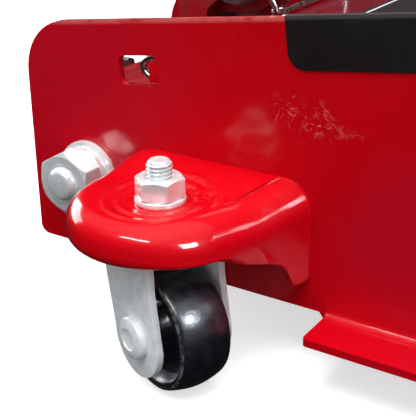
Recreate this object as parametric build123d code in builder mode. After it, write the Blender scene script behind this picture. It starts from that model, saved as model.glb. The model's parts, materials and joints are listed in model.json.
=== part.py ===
from build123d import *
import math
import os

# Hydraulic trolley jack. X runs from the rear (handle end) to the front (saddle end), Y to the left and
# Z up. The origin lies on the floor under the middle of the bounding box. All sizes are millimetres.
# Places along X are given from the rear edge of the side plates and shifted by REAR_X.

# ---------------------------------------------------------------- driving dimensions
REAR_X = -108.56                 # rear edge of the side plates in the model frame

# side plates
PLATE_OUT = 56.0                # outer face of a side plate from the middle plane
PLATE_T = 3.2
PLATE_BOTTOM = 26.6
PLATE_REAR_TOP = 126.2
PLATE_TOP_SLOPE = 0.12
HUMP_X = 255.0
NOSE_X = 603.0
NOSE_LOW = 14.0
NOSE_HIGH = 62.0
FLANGE_START = 149.0
FLANGE_END = 518.0
FLANGE_WIDTH = 20.5
FLANGE_LOW = 22.6
SLOT_X = 61.0
SLOT_Z = 112.6
SLOT_LENGTH = 19.6
SLOT_HEIGHT = 12.4
SLOT_CORNER = 3.2
DECAL_START = 128.2
DECAL_END = 234.0
DECAL_DEPTH = 19.3
DECAL_SKIN = 0.5
COVER_START = 112.0
COVER_END = 234.0
COVER_GAP = 5.0                 # the cover's top lies this far under the plates' upper edge
COVER_T = 2.0
COVER_LIP = 12.0
LABEL_START = 142.0
LABEL_WIDTH = 88.0
TAB_REAR = 66.6
TAB_T = 3.8
TAB_HEIGHT = 8.6
TAB_RISE = 0.2                  # middle of the tab above the middle of the slot

# rear tie bolt, M16
TIE_X = 32.0
TIE_Z = 63.3
TIE_R = 8.0
TIE_REACH = 77.0                # ends of the bolt from the middle plane
TIE_NUT_AF = 24.6

# casters
STUD_X = 95.3
STUD_OUT = 34.2                 # caster stud from the outer face of the side plate
STUD_R = 5.0
STUD_NUT_AF = 17.0
STUD_TOP = 91.9
BRACKET_TOP = 75.4
BRACKET_RISE = 4.4              # the top climbs this much towards the side plate
BRACKET_SKIRT = 60.6
BRACKET_TONGUE = 39.3
BRACKET_TIP_X = 92.0
BRACKET_TIP_OUT = 29.8          # centre of the round tip from the side plate
BRACKET_TIP_R = 36.2
BRACKET_REAR = 57.5
BRACKET_FRONT = 141.5
BRACKET_EDGE_R = 9.0
BRACKET_T = 3.2
CASTER_R = 25.5
CASTER_RIM_R = 23.7
CASTER_W = 22.0
CASTER_TRAIL = 6.5
CASTER_ANGLE = -22.0            # heading of the right caster, turned outward
FORK_IN = 14.2
FORK_T = 3.0
FORK_TOP = 64.0
CASTER_HEAD_R = 8.4
CASTER_HEAD_T = 3.6

# hydraulic unit
CYL_Z = 70.0
BLOCK_REAR = 14.0
BLOCK_FRONT = 84.0
BLOCK_LOW = 40.0
BLOCK_TOP = 98.0
RESERVOIR_R = 35.0
RESERVOIR_IN = 31.5
CYLINDER_R = 22.0
CYLINDER_IN = 17.0
CYLINDER_END = 184.0
GLAND_END = 192.0
ROD_R = 12.0
FIT = 0.05                      # radial clearance of a running fit

# lift arm, pivot A, lug pin B, saddle pivot C
ARM_X = 262.0
ARM_Z = 128.0
ARM_LENGTH = 300.0
ARM_DROP = 20.0                 # C lies this far under A when lowered
ARM_SWING = 62.0
LUG_LENGTH = 62.0
ARM_IN = 24.0
ARM_T = 6.0
SHAFT_R = 11.0
LUG_PIN_R = 8.0
LINK_OFFSET = 32.0
LINK_IN = 33.2
LINK_T = 4.0
LINK_PIN_R = 6.0

# saddle
TABLE_LOW = 128.5
TABLE_TOP = 134.0
SADDLE_R = 44.0
SADDLE_TOP = 150.0

# front wheels
AXLE_X = 575.0
WHEEL_R = 38.0
WHEEL_W = 26.0
AXLE_R = 10.0

# handle
PIVOT_X = 95.0
PIVOT_Z = 150.0
PIVOT_R = 8.0
LUG_R = 16.5
ROLLER_ARM = 32.0
ROLLER_R = 8.0
ROLLER_DIP = 22.0               # the roller lies this many degrees under the pivot, to the rear
HANDLE_TILT = 50.0              # the lowered handle's rise above the horizontal, leaning to the rear
TUBE_R = 16.0
SOCKET_R = 19.5
SOCKET_END = 132.0
LOWER_END = 400.0
HANDLE_END = 745.0
PLUNGER_R = 8.0
COLLAR_DROP = 12.5              # plunger collar under the plunger's top
EAR_IN = 20.0
EAR_T = 7.0
EAR_REAR = 61.5
EAR_R = 15.0
VALVE_Z = 88.0
VALVE_R = 6.0
COLLAR_R = 12.5
COLLAR_T = 3.5
ROLLER_HALF = 9.7
STUB_R = 4.0
SOCKET_HALF = 19.0
TUBE_START = 24.0
PIN_END = 40.0
SPRING_IN = 30.6
SPRING_PITCH = 2.7
SPRING_COIL_R = 9.9
SPRING_WIRE = 1.3

# ---------------------------------------------------------------- derived places
PLATE_IN = PLATE_OUT - PLATE_T
HUMP_Z = PLATE_REAR_TOP + PLATE_TOP_SLOPE * HUMP_X
STUD_Y = PLATE_OUT + STUD_OUT
HALF_SWING = math.radians(ARM_SWING / 2)
LUG_X = ARM_X - LUG_LENGTH * math.sin(HALF_SWING)
LUG_Z = ARM_Z - LUG_LENGTH * math.cos(HALF_SWING)
LUG_Z_LOW = ARM_Z - LUG_LENGTH
SADDLE_X = ARM_X + math.sqrt(ARM_LENGTH ** 2 - ARM_DROP ** 2)
SADDLE_Z = ARM_Z - ARM_DROP
ARM_REST = -math.degrees(math.asin(ARM_DROP / ARM_LENGTH))
LINK_TURN = math.radians(ARM_REST + ARM_SWING / 2)
LINK_DX = LINK_OFFSET * math.sin(LINK_TURN)
LINK_DZ = -LINK_OFFSET * math.cos(LINK_TURN)
ROLLER_X = PIVOT_X - ROLLER_ARM * math.cos(math.radians(ROLLER_DIP))
ROLLER_Z = PIVOT_Z - ROLLER_ARM * math.sin(math.radians(ROLLER_DIP))
PLUNGER_TOP = ROLLER_Z - ROLLER_R - 0.3
COLLAR_LOW = PLUNGER_TOP - COLLAR_DROP - COLLAR_T


def wx(x):
    """Model X of a place given from the rear edge of the side plates."""
    return x + REAR_X


def plate_z(x):
    """Height of a side plate's upper edge behind its hump."""
    return PLATE_REAR_TOP + PLATE_TOP_SLOPE * x


def cover_z(x):
    """Height of the top cover's upper face."""
    return plate_z(x) - COVER_GAP


def xz_plane(y):
    """Sketch plane at the given Y. Its sketches extrude towards -Y."""
    return Plane.XZ.offset(-y)


def rod_y(x, z, radius, y_low, y_high, mode=Mode.ADD):
    """Round bar or bore along Y, added to the part being built."""
    with Locations((wx(x), (y_low + y_high) / 2, z)):
        Cylinder(radius, y_high - y_low, rotation=(90, 0, 0), mode=mode)


def rod_x(y, z, radius, x_low, x_high, mode=Mode.ADD):
    """Round bar or bore along X, added to the part being built."""
    with Locations((wx((x_low + x_high) / 2), y, z)):
        Cylinder(radius, x_high - x_low, rotation=(0, 90, 0), mode=mode)


def rod_z(x, y, radius, z_low, z_high, mode=Mode.ADD):
    """Round bar or bore along Z, added to the part being built."""
    with Locations((wx(x), y, (z_low + z_high) / 2)):
        Cylinder(radius, z_high - z_low, mode=mode)


def block(x_low, x_high, y_low, y_high, z_low, z_high, mode=Mode.ADD):
    """Box between two corners, added to the part being built."""
    with Locations((wx((x_low + x_high) / 2), (y_low + y_high) / 2, (z_low + z_high) / 2)):
        Box(x_high - x_low, y_high - y_low, z_high - z_low, mode=mode)


def save(builder, label):
    """Labels a finished piece and writes its STEP file."""
    builder.part.label = label
    export_step(builder.part, f"parts/{label}.step")


def mirrored(builder):
    """The same piece on the other side of the middle plane."""
    with BuildPart() as other:
        mirror(builder.part, about=Plane.XZ)
    return other


# ---------------------------------------------------------------- frame
def side_plate_right():
    """Side plate with its foot flange folded outward, on the right side."""
    with BuildPart() as plate:
        with BuildSketch(xz_plane(-PLATE_IN)):
            with BuildLine():
                Polyline(
                    (wx(0), PLATE_BOTTOM),
                    (wx(0), PLATE_REAR_TOP),
                    (wx(HUMP_X), HUMP_Z),
                    (wx(NOSE_X), NOSE_HIGH),
                    (wx(NOSE_X), NOSE_LOW),
                    (wx(FLANGE_END + 30), NOSE_LOW),
                    (wx(FLANGE_END), FLANGE_LOW),
                    (wx(FLANGE_START), FLANGE_LOW),
                    (wx(FLANGE_START - 3), PLATE_BOTTOM),
                    close=True,
                )
            make_face()
            corners = vertices().sort_by(Axis.X)
            fillet(corners.filter_by(lambda v: v.X < wx(1) and v.Y > 100), 25)
            fillet(vertices().filter_by(lambda v: v.X < wx(1) and v.Y < PLATE_BOTTOM + 1), 4.5)
            fillet(vertices().filter_by(lambda v: v.Y > HUMP_Z - 1), 45)
            fillet(vertices().filter_by(lambda v: v.X > wx(NOSE_X - 1)), 22)
            with Locations((wx(SLOT_X), SLOT_Z)):
                RectangleRounded(SLOT_LENGTH, SLOT_HEIGHT, SLOT_CORNER,
                                 rotation=math.degrees(PLATE_TOP_SLOPE), mode=Mode.SUBTRACT)
            with Locations((wx(TIE_X), TIE_Z)):
                Circle(TIE_R + FIT, mode=Mode.SUBTRACT)
            with Locations((wx(ARM_X), ARM_Z)):
                Circle(SHAFT_R + FIT, mode=Mode.SUBTRACT)
            with Locations((wx(AXLE_X), WHEEL_R)):
                Circle(AXLE_R + FIT, mode=Mode.SUBTRACT)
        extrude(amount=PLATE_T)
        block(FLANGE_START, FLANGE_END, -PLATE_OUT - FLANGE_WIDTH, -PLATE_OUT + 0.5,
              FLANGE_LOW, FLANGE_LOW + PLATE_T)
        inner_bend = edges().filter_by(Axis.X).filter_by_position(
            Axis.Y, -PLATE_OUT - 0.01, -PLATE_OUT + 0.01).filter_by_position(
            Axis.Z, FLANGE_LOW + PLATE_T - 0.01, FLANGE_LOW + PLATE_T + 0.01)
        fillet(inner_bend, 3.0)
        flange_ends = edges().filter_by(Axis.Z).filter_by_position(
            Axis.Y, -PLATE_OUT - FLANGE_WIDTH - 0.01, -PLATE_OUT - FLANGE_WIDTH + 0.01)
        fillet(flange_ends, 2.0)
    return plate


def is_crosswise(edge):
    """True for an edge that runs along X."""
    start, end = edge.position_at(0), edge.position_at(1)
    return abs(start.Y - end.Y) < 0.01 and abs(start.Z - end.Z) < 0.01


def bracket_dome(inset):
    """Solid dome of the right caster bracket, drawn in by the sheet's thickness for its inner face."""
    top = BRACKET_TOP - inset
    raised = top + BRACKET_RISE
    plate_side = -PLATE_OUT if inset == 0 else -PLATE_OUT + 1
    with BuildPart() as dome:
        with BuildSketch(Plane.XY.offset(BRACKET_TONGUE - inset)):
            with Locations((wx(BRACKET_TIP_X), -PLATE_OUT - BRACKET_TIP_OUT)):
                Circle(BRACKET_TIP_R - inset)
            with BuildLine():
                Line((wx(BRACKET_REAR + inset), plate_side), (wx(BRACKET_FRONT - inset), plate_side))
            make_hull()
            if inset == 0:
                with Locations((wx(BRACKET_TIP_X), -PLATE_OUT + 20)):
                    Rectangle(200, 40, mode=Mode.SUBTRACT)
        extrude(amount=raised - BRACKET_TONGUE + inset)
        with BuildSketch(Plane.YZ.offset(wx(BRACKET_REAR - 10))):
            with BuildLine():
                Polyline((-80, top), (-130, top), (-130, raised + 1), (-54, raised + 1), (-54, raised),
                         close=True)
            make_face()
        extrude(amount=BRACKET_FRONT - BRACKET_REAR + 20, mode=Mode.SUBTRACT)
        fillet(edges().filter_by(
            lambda e: e.center().Z > top - 1 and e.center().Y < plate_side - 0.1 and not is_crosswise(e)),
            BRACKET_EDGE_R - inset)
    return dome.part


def caster_bracket_right():
    """Pressed caster bracket: a round-ended dome whose skirt ends in a tongue on the side plate."""
    outer = bracket_dome(0)
    inner = bracket_dome(BRACKET_T)
    with BuildPart() as bracket:
        add(outer)
        add(inner, mode=Mode.SUBTRACT)
        with BuildSketch(Plane.YZ.offset(wx(BRACKET_REAR - 10))):
            with BuildLine():
                Polyline(
                    (-64, BRACKET_TONGUE - 1),
                    (-130, BRACKET_TONGUE - 1),
                    (-130, BRACKET_SKIRT),
                    (-98, BRACKET_SKIRT),
                    (-72, 51.5),
                )
                Spline((-72, 51.5), (-67, 47), (-64, BRACKET_TONGUE - 1), tangents=[(1, -0.3), (0.2, -1)])
            make_face()
        extrude(amount=BRACKET_FRONT - BRACKET_REAR + 20, mode=Mode.SUBTRACT)
        rod_z(STUD_X, -STUD_Y, STUD_R + 0.3, BRACKET_TOP - 8, BRACKET_TOP + 2, mode=Mode.SUBTRACT)
    return bracket


def top_cover():
    """Thin cover between the side plates over the pump, with a folded rear lip."""
    low = cover_z(COVER_START)
    high = cover_z(COVER_END)
    with BuildPart() as cover:
        with BuildSketch(xz_plane(PLATE_IN - 0.1)):
            with BuildLine():
                Polyline(
                    (wx(COVER_START), low - COVER_LIP),
                    (wx(COVER_START), low),
                    (wx(COVER_END), high),
                    (wx(COVER_END), high - COVER_T),
                    (wx(COVER_START + COVER_T), low - COVER_T),
                    (wx(COVER_START + COVER_T), low - COVER_LIP),
                    close=True,
                )
            make_face()
        extrude(amount=2 * PLATE_IN - 0.2)
    return cover


def top_label():
    """Plain label on the top cover."""
    slope = math.hypot(1, PLATE_TOP_SLOPE)
    middle = (LABEL_START + COVER_END - 4) / 2
    with BuildPart() as label:
        with BuildSketch(Plane(origin=(wx(middle), 0, cover_z(middle)), x_dir=(1, 0, PLATE_TOP_SLOPE),
                               z_dir=(-PLATE_TOP_SLOPE, 0, 1))):
            RectangleRounded((COVER_END - 4 - LABEL_START) * slope, LABEL_WIDTH, 4)
        extrude(amount=0.4)
    return label


def side_decals():
    """Plain sticker folded over the upper edge of each side plate, square to that edge."""
    lean = DECAL_DEPTH * PLATE_TOP_SLOPE
    with BuildPart() as decals:
        for side in (-1, 1):
            outer = side * PLATE_OUT
            with BuildSketch(xz_plane(max(outer, outer + side * DECAL_SKIN))):
                with BuildLine():
                    Polyline(
                        (wx(DECAL_START), plate_z(DECAL_START)),
                        (wx(DECAL_END), plate_z(DECAL_END)),
                        (wx(DECAL_END + lean), plate_z(DECAL_END) - DECAL_DEPTH),
                        (wx(DECAL_START + lean), plate_z(DECAL_START) - DECAL_DEPTH),
                        close=True,
                    )
                make_face()
                fillet(vertices().group_by(Axis.Y)[0] + vertices().group_by(Axis.Y)[1], 7)
            extrude(amount=DECAL_SKIN)
            with BuildSketch(xz_plane(max(outer + side * DECAL_SKIN, side * PLATE_IN))):
                with BuildLine():
                    Polyline(
                        (wx(DECAL_START), plate_z(DECAL_START)),
                        (wx(DECAL_START), plate_z(DECAL_START) + DECAL_SKIN),
                        (wx(DECAL_END), plate_z(DECAL_END) + DECAL_SKIN),
                        (wx(DECAL_END), plate_z(DECAL_END)),
                        close=True,
                    )
                make_face()
            extrude(amount=PLATE_T + DECAL_SKIN)
    return decals


def spring_anchors():
    """Two flat tabs welded in the front ends of the side plates' slots. The return springs hook on them."""
    with BuildPart() as anchors:
        for side in (-1, 1):
            ends = sorted((side * 40.0, side * (PLATE_OUT - 0.2)))
            low = SLOT_Z + TAB_RISE - TAB_HEIGHT / 2
            block(TAB_REAR, TAB_REAR + TAB_T, ends[0], ends[1], low, low + TAB_HEIGHT)
    return anchors


def front_axle():
    """Front axle through both side plates."""
    with BuildPart() as axle:
        rod_y(AXLE_X, WHEEL_R, AXLE_R, -91, 91)
        chamfer(edges().filter_by(GeomType.CIRCLE), 1.0)
    return axle


def front_axle_caps():
    """Pressed caps that hold the front wheels on the axle."""
    with BuildPart() as caps:
        for side in (-1, 1):
            ends = sorted((side * 86.0, side * 95.0))
            rod_y(AXLE_X, WHEEL_R, 15.0, ends[0], ends[1])
            hole = sorted((side * 85.0, side * 91.0))
            rod_y(AXLE_X, WHEEL_R, AXLE_R, hole[0], hole[1], mode=Mode.SUBTRACT)
        domes = edges().filter_by(GeomType.CIRCLE).filter_by(lambda e: abs(e.center().Y) > 94)
        fillet(domes, 4.0)
    return caps


def front_cross_tube():
    """Tube welded between the side plates ahead of the ram."""
    with BuildPart() as tube:
        rod_y(470, 46, 12.0, -PLATE_IN, PLATE_IN)
        rod_y(470, 46, 9.0, -PLATE_IN - 1, PLATE_IN + 1, mode=Mode.SUBTRACT)
    return tube


def rear_tie_bolt():
    """Long bolt through the pump block and both side plates."""
    with BuildPart() as bolt:
        rod_y(TIE_X, TIE_Z, TIE_R, -TIE_REACH, TIE_REACH)
        chamfer(edges().filter_by(GeomType.CIRCLE), 1.2)
    return bolt


def ring_pair(x, z, outer_r, inner_r, start, thickness):
    """A round washer on each side, from a distance out of the middle plane."""
    with BuildPart() as rings:
        for side in (-1, 1):
            ends = sorted((side * start, side * (start + thickness)))
            rod_y(x, z, outer_r, ends[0], ends[1])
            rod_y(x, z, inner_r, ends[0] - 1, ends[1] + 1, mode=Mode.SUBTRACT)
    return rings


def nut_pair(x, z, across_flats, bore_r, start, thickness, turn):
    """A hexagon nut on each side."""
    with BuildPart() as nuts:
        for side in (-1, 1):
            top = max(side * start, side * (start + thickness))
            with BuildSketch(xz_plane(top)):
                with Locations((wx(x), z)):
                    RegularPolygon(across_flats / 2, 6, major_radius=False, rotation=turn)
                    Circle(bore_r, mode=Mode.SUBTRACT)
            extrude(amount=thickness)
    return nuts


def pump_block():
    """Cast block between the side plates: plunger bore, cylinder socket and the posts of the handle pivot."""
    post_front = EAR_REAR + 14
    with BuildPart() as pump:
        block(BLOCK_REAR, BLOCK_FRONT, -PLATE_IN + 0.1, PLATE_IN - 0.1, BLOCK_LOW, BLOCK_TOP - 14)
        block(BLOCK_REAR + 4, BLOCK_FRONT, -30, 30, BLOCK_TOP - 15, BLOCK_TOP)
        for low in (-EAR_IN - EAR_T, EAR_IN):
            with BuildSketch(xz_plane(low + EAR_T)):
                with BuildLine():
                    Polyline(
                        (wx(EAR_REAR), BLOCK_TOP - 4),
                        (wx(EAR_REAR), PIVOT_Z - 3),
                        (wx(PIVOT_X - 9), PIVOT_Z + 13),
                        (wx(PIVOT_X), PIVOT_Z - 8),
                        (wx(PIVOT_X - 11), PIVOT_Z - 9),
                        (wx(post_front), PIVOT_Z - 16),
                        (wx(post_front), BLOCK_TOP - 4),
                        close=True,
                    )
                make_face()
                with Locations((wx(PIVOT_X), PIVOT_Z)):
                    Circle(EAR_R)
                fillet(vertices().filter_by(
                    lambda v: abs(v.X - wx(post_front)) < 0.1 and v.Y > PIVOT_Z - 20), 5)
                with Locations((wx(PIVOT_X), PIVOT_Z)):
                    Circle(PIVOT_R + FIT, mode=Mode.SUBTRACT)
            extrude(amount=EAR_T)
        rod_z(ROLLER_X, 0, PLUNGER_R + FIT, 55, BLOCK_TOP + 9, mode=Mode.SUBTRACT)
        rod_y(TIE_X, TIE_Z, TIE_R + FIT, -PLATE_OUT, PLATE_OUT, mode=Mode.SUBTRACT)
        rod_x(0, VALVE_Z, VALVE_R + FIT, BLOCK_REAR - 1, BLOCK_REAR + 26, mode=Mode.SUBTRACT)
    return pump


def reservoir_tube():
    """Oil reservoir around the ram cylinder, with the boss of the filler plug."""
    with BuildPart() as tube:
        rod_x(0, CYL_Z, RESERVOIR_R, BLOCK_FRONT, CYLINDER_END)
        rod_z(150, 0, 9.0, CYL_Z + 20, CYL_Z + RESERVOIR_R + 2)
        rod_x(0, CYL_Z, RESERVOIR_IN, BLOCK_FRONT - 1, CYLINDER_END + 1, mode=Mode.SUBTRACT)
        rod_z(150, 0, 5.0, CYL_Z + 20, CYL_Z + RESERVOIR_R + 3, mode=Mode.SUBTRACT)
    return tube


def ram_cylinder():
    """Inner cylinder of the ram."""
    with BuildPart() as cylinder:
        rod_x(0, CYL_Z, CYLINDER_R, BLOCK_FRONT, CYLINDER_END)
        rod_x(0, CYL_Z, CYLINDER_IN, BLOCK_FRONT - 1, CYLINDER_END + 1, mode=Mode.SUBTRACT)
    return cylinder


def cylinder_gland():
    """Ring nut that closes the cylinder and guides the rod."""
    with BuildPart() as gland:
        rod_x(0, CYL_Z, RESERVOIR_R - 1, CYLINDER_END, GLAND_END)
        with BuildSketch(Plane.YZ.offset(wx(GLAND_END - 4))):
            with Locations((0, CYL_Z)):
                with PolarLocations(RESERVOIR_R, 4):
                    Rectangle(8, 8)
        extrude(amount=5, mode=Mode.SUBTRACT)
        rod_x(0, CYL_Z, ROD_R + FIT, CYLINDER_END - 1, GLAND_END + 1, mode=Mode.SUBTRACT)
    return gland


def oil_filler_plug():
    """Filler plug in the top of the reservoir."""
    top = CYL_Z + RESERVOIR_R + 2
    with BuildPart() as plug:
        rod_z(150, 0, 5.0, top - 8, top)
        with BuildSketch(Plane.XY.offset(top)):
            with Locations((wx(150), 0)):
                RegularPolygon(7.0, 6, major_radius=False)
        extrude(amount=4)
    return plug


def pump_spring():
    """Spring between the block and the plunger's collar, as a sleeve."""
    with BuildPart() as spring:
        rod_z(ROLLER_X, 0, COLLAR_R - 0.3, BLOCK_TOP, COLLAR_LOW)
        rod_z(ROLLER_X, 0, PLUNGER_R + 1.2, BLOCK_TOP - 1, COLLAR_LOW + 1, mode=Mode.SUBTRACT)
    return spring


def handle_pivot_pin():
    """Pin of the handle socket, with clips outside the posts and the torsion springs."""
    clip = EAR_IN + EAR_T + 0.1
    with BuildPart() as pin:
        rod_y(PIVOT_X, PIVOT_Z, PIVOT_R, -PIN_END, PIN_END)
        chamfer(edges().filter_by(GeomType.CIRCLE), 0.8)
        for side in (-1, 1):
            ends = sorted((side * clip, side * (clip + 1.2)))
            rod_y(PIVOT_X, PIVOT_Z, PIVOT_R + 2.0, ends[0], ends[1])
            ends = sorted((side * (PIN_END - 2.6), side * (PIN_END - 1.2)))
            rod_y(PIVOT_X, PIVOT_Z, PIVOT_R + 2.0, ends[0], ends[1])
    return pin


def arm_pivot_shaft():
    """Shaft of the lift arm, held by nuts outside the side plates."""
    with BuildPart() as shaft:
        rod_y(ARM_X, ARM_Z, SHAFT_R, -PLATE_OUT - 13, PLATE_OUT + 13)
        chamfer(edges().filter_by(GeomType.CIRCLE), 1.2)
    return shaft


def level_link_studs():
    """Studs on the inside of the side plates that carry the levelling links."""
    with BuildPart() as studs:
        for side in (-1, 1):
            x = ARM_X + LINK_DX
            z = ARM_Z + LINK_DZ
            ends = sorted((side * 31.2, side * PLATE_IN))
            rod_y(x, z, LINK_PIN_R, ends[0], ends[1])
            ends = sorted((side * 31.2, side * (LINK_IN - 0.4)))
            rod_y(x, z, 8.5, ends[0], ends[1])
            ends = sorted((side * (LINK_IN + LINK_T + 0.4), side * PLATE_IN))
            rod_y(x, z, 9.0, ends[0], ends[1])
    return studs


# ---------------------------------------------------------------- casters
def caster_studs():
    """Studs that hold the casters to their brackets, with the raceway under each bracket."""
    with BuildPart() as studs:
        for side in (-1, 1):
            y = side * STUD_Y
            rod_z(STUD_X, y, STUD_R, FORK_TOP - 7.5, STUD_TOP)
            rod_z(STUD_X, y, 9.0, FORK_TOP - 10.5, FORK_TOP - 5.5)
            rod_z(STUD_X, y, 15.0, FORK_TOP + 0.3, BRACKET_TOP - BRACKET_T)
        tips = edges().filter_by(GeomType.CIRCLE).group_by(Axis.Z)[-1]
        chamfer(tips, 0.9)
    return studs


def caster_nuts():
    """Hexagon nuts on the caster studs."""
    low = BRACKET_TOP + 2.0
    with BuildPart() as nuts:
        for side in (-1, 1):
            with BuildSketch(Plane.XY.offset(low)):
                with Locations((wx(STUD_X), side * STUD_Y)):
                    RegularPolygon(STUD_NUT_AF / 2, 6, major_radius=False, rotation=-side * 10)
                    Circle(STUD_R, mode=Mode.SUBTRACT)
            extrude(amount=8.0)
    return nuts


def caster_washers():
    """Flat washers under the caster nuts."""
    with BuildPart() as washers:
        for side in (-1, 1):
            rod_z(STUD_X, side * STUD_Y, 9.8, BRACKET_TOP, BRACKET_TOP + 2.0)
            rod_z(STUD_X, side * STUD_Y, STUD_R, BRACKET_TOP - 1, BRACKET_TOP + 3, mode=Mode.SUBTRACT)
    return washers


HEADING = math.radians(CASTER_ANGLE)
CASTER_FRAME = Plane(
    origin=(wx(STUD_X), -STUD_Y, 0),
    x_dir=(math.cos(HEADING), math.sin(HEADING), 0),
    z_dir=(0, 0, 1),
)


def caster_upright(across):
    """Sketch plane of the right caster, upright and along its heading, at a distance inward."""
    side = Vector(-math.sin(HEADING), math.cos(HEADING), 0)
    return Plane(
        origin=CASTER_FRAME.origin + side * across,
        x_dir=(math.cos(HEADING), math.sin(HEADING), 0),
        z_dir=-side,
    )


def caster_fork_right():
    """Folded caster fork: a top plate on the stud and two cheeks down to the axle."""
    outer = FORK_IN + FORK_T
    bore = 4.0 + FIT
    with BuildPart() as fork:
        with BuildSketch(CASTER_FRAME.offset(FORK_TOP - FORK_T)):
            RectangleRounded(34, 2 * outer, 4)
            Circle(STUD_R + FIT, mode=Mode.SUBTRACT)
        extrude(amount=FORK_T)
        for across in (outer, -FORK_IN):
            with BuildSketch(caster_upright(across)):
                with BuildLine():
                    bottom = CASTER_R - 16.5
                    Polyline(
                        (-15, FORK_TOP - 1.5),
                        (-14.5, 48),
                        (CASTER_TRAIL - 15.5, CASTER_R - 1),
                    )
                    ThreePointArc(
                        (CASTER_TRAIL - 15.5, CASTER_R - 1),
                        (CASTER_TRAIL, bottom),
                        (CASTER_TRAIL + 15.5, CASTER_R - 1),
                    )
                    Polyline(
                        (CASTER_TRAIL + 15.5, CASTER_R - 1),
                        (17.5, 48),
                        (17, FORK_TOP - 1.5),
                        (-15, FORK_TOP - 1.5),
                    )
                make_face()
                with Locations((CASTER_TRAIL, CASTER_R)):
                    Circle(bore, mode=Mode.SUBTRACT)
            extrude(amount=FORK_T)
    return fork


def caster_axle_right():
    """Riveted axle of the right caster wheel."""
    reach = FORK_IN + FORK_T
    with BuildPart() as axle:
        with BuildSketch(caster_upright(reach + CASTER_HEAD_T)):
            with Locations((CASTER_TRAIL, CASTER_R)):
                Circle(4.0)
        extrude(amount=2 * (reach + CASTER_HEAD_T))
        for across in (reach + CASTER_HEAD_T, -reach):
            with BuildSketch(caster_upright(across)):
                with Locations((CASTER_TRAIL, CASTER_R)):
                    Circle(CASTER_HEAD_R)
            extrude(amount=CASTER_HEAD_T)
    return axle


def caster_wheel_right():
    """Caster wheel with a crowned tread, thin rim lips and dished faces."""
    half = CASTER_W / 2
    wheel_plane = caster_upright(0)
    centre = wheel_plane.origin + wheel_plane.x_dir * CASTER_TRAIL + Vector(0, 0, CASTER_R)
    profile_plane = Plane(origin=centre, x_dir=wheel_plane.x_dir, z_dir=(0, 0, 1))
    with BuildPart() as wheel:
        with BuildSketch(profile_plane):
            with BuildLine():
                Polyline((4.0 + FIT, half + 1.5), (9, half + 1.5), (9, half - 3), (19.5, half - 3),
                         (20.5, half), (CASTER_RIM_R, half))
                ThreePointArc((CASTER_RIM_R, half), (CASTER_R, 0), (CASTER_RIM_R, -half))
                Polyline((CASTER_RIM_R, -half), (20.5, -half), (19.5, 3 - half), (9, 3 - half),
                         (9, -half - 1.5), (4.0 + FIT, -half - 1.5), (4.0 + FIT, half + 1.5))
            make_face()
        revolve(axis=Axis(centre, wheel_plane.z_dir))
    return wheel


def front_wheel(side):
    """Front wheel with a web, turning on the front axle."""
    near = PLATE_OUT + 3.5
    far = near + WHEEL_W
    with BuildPart() as wheel:
        ends = sorted((side * near, side * far))
        rod_y(AXLE_X, WHEEL_R, WHEEL_R, ends[0], ends[1])
        fillet(edges().filter_by(GeomType.CIRCLE), 2.5)
        dish = sorted((side * (far - 7), side * (far + 1)))
        rod_y(AXLE_X, WHEEL_R, 31.0, dish[0], dish[1], mode=Mode.SUBTRACT)
        hub = sorted((side * (far - 8), side * (far - 0.5)))
        rod_y(AXLE_X, WHEEL_R, 16.5, hub[0], hub[1])
        rod_y(AXLE_X, WHEEL_R, AXLE_R + FIT, ends[0] - 1, ends[1] + 1, mode=Mode.SUBTRACT)
    return wheel


# ---------------------------------------------------------------- ram
def ram_rod():
    """Ram rod with the collar that carries the spring bar."""
    with BuildPart() as rod:
        rod_x(0, CYL_Z, ROD_R, 94, LUG_X - 17)
        rod_x(0, CYL_Z, 15.0, LUG_X - 36, LUG_X - 24)
        rod_y(LUG_X - 30, CYL_Z, 4.5, -20, 20, mode=Mode.SUBTRACT)
    return rod


def ram_piston():
    """Piston on the rear end of the rod."""
    with BuildPart() as piston:
        rod_x(0, CYL_Z, CYLINDER_IN - FIT, 86, 96)
        rod_x(0, CYL_Z, CYLINDER_IN - 3, 95, 101)
        rod_x(0, CYL_Z, CYLINDER_IN - FIT, 100, 106)
        rod_x(0, CYL_Z, ROD_R, 94, 107, mode=Mode.SUBTRACT)
    return piston


def piston_seal():
    """Seal ring in the piston's groove."""
    with BuildPart() as seal:
        rod_x(0, CYL_Z, CYLINDER_IN - FIT, 96.1, 99.9)
        rod_x(0, CYL_Z, CYLINDER_IN - 3, 95, 101, mode=Mode.SUBTRACT)
    return seal


def ram_crosshead():
    """Block on the front end of the rod. The arm's lug pin works in its upright slot."""
    slot_w = 2 * (LUG_PIN_R + 1.0)
    slot_low = LUG_Z_LOW - LUG_PIN_R - 0.8
    slot_high = LUG_Z + LUG_PIN_R + 0.8
    with BuildPart() as crosshead:
        block(LUG_X - 17, LUG_X + 17, -19, 19, 50, 92)
        chamfer(edges().filter_by(Axis.Y), 4)
        block(LUG_X - slot_w / 2, LUG_X + slot_w / 2, -20, 20, slot_low, slot_high, mode=Mode.SUBTRACT)
    return crosshead


def spring_bar():
    """Cross bar through the rod's collar. The return springs pull on its ends."""
    with BuildPart() as bar:
        rod_y(LUG_X - 30, CYL_Z, 4.5, -50, 50)
    return bar


def return_springs():
    """Two return springs from the anchors to the spring bar, as round bars."""
    with BuildPart() as springs:
        for side in (-1, 1):
            start = Vector(wx(TAB_REAR + TAB_T + 2.6), side * 44.5, SLOT_Z - 2)
            end = Vector(wx(LUG_X - 36), side * 44.5, CYL_Z + 2)
            with BuildSketch(Plane(origin=start, x_dir=(0, 1, 0), z_dir=end - start)):
                Circle(5.5)
            extrude(amount=(end - start).length)
    return springs


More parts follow.
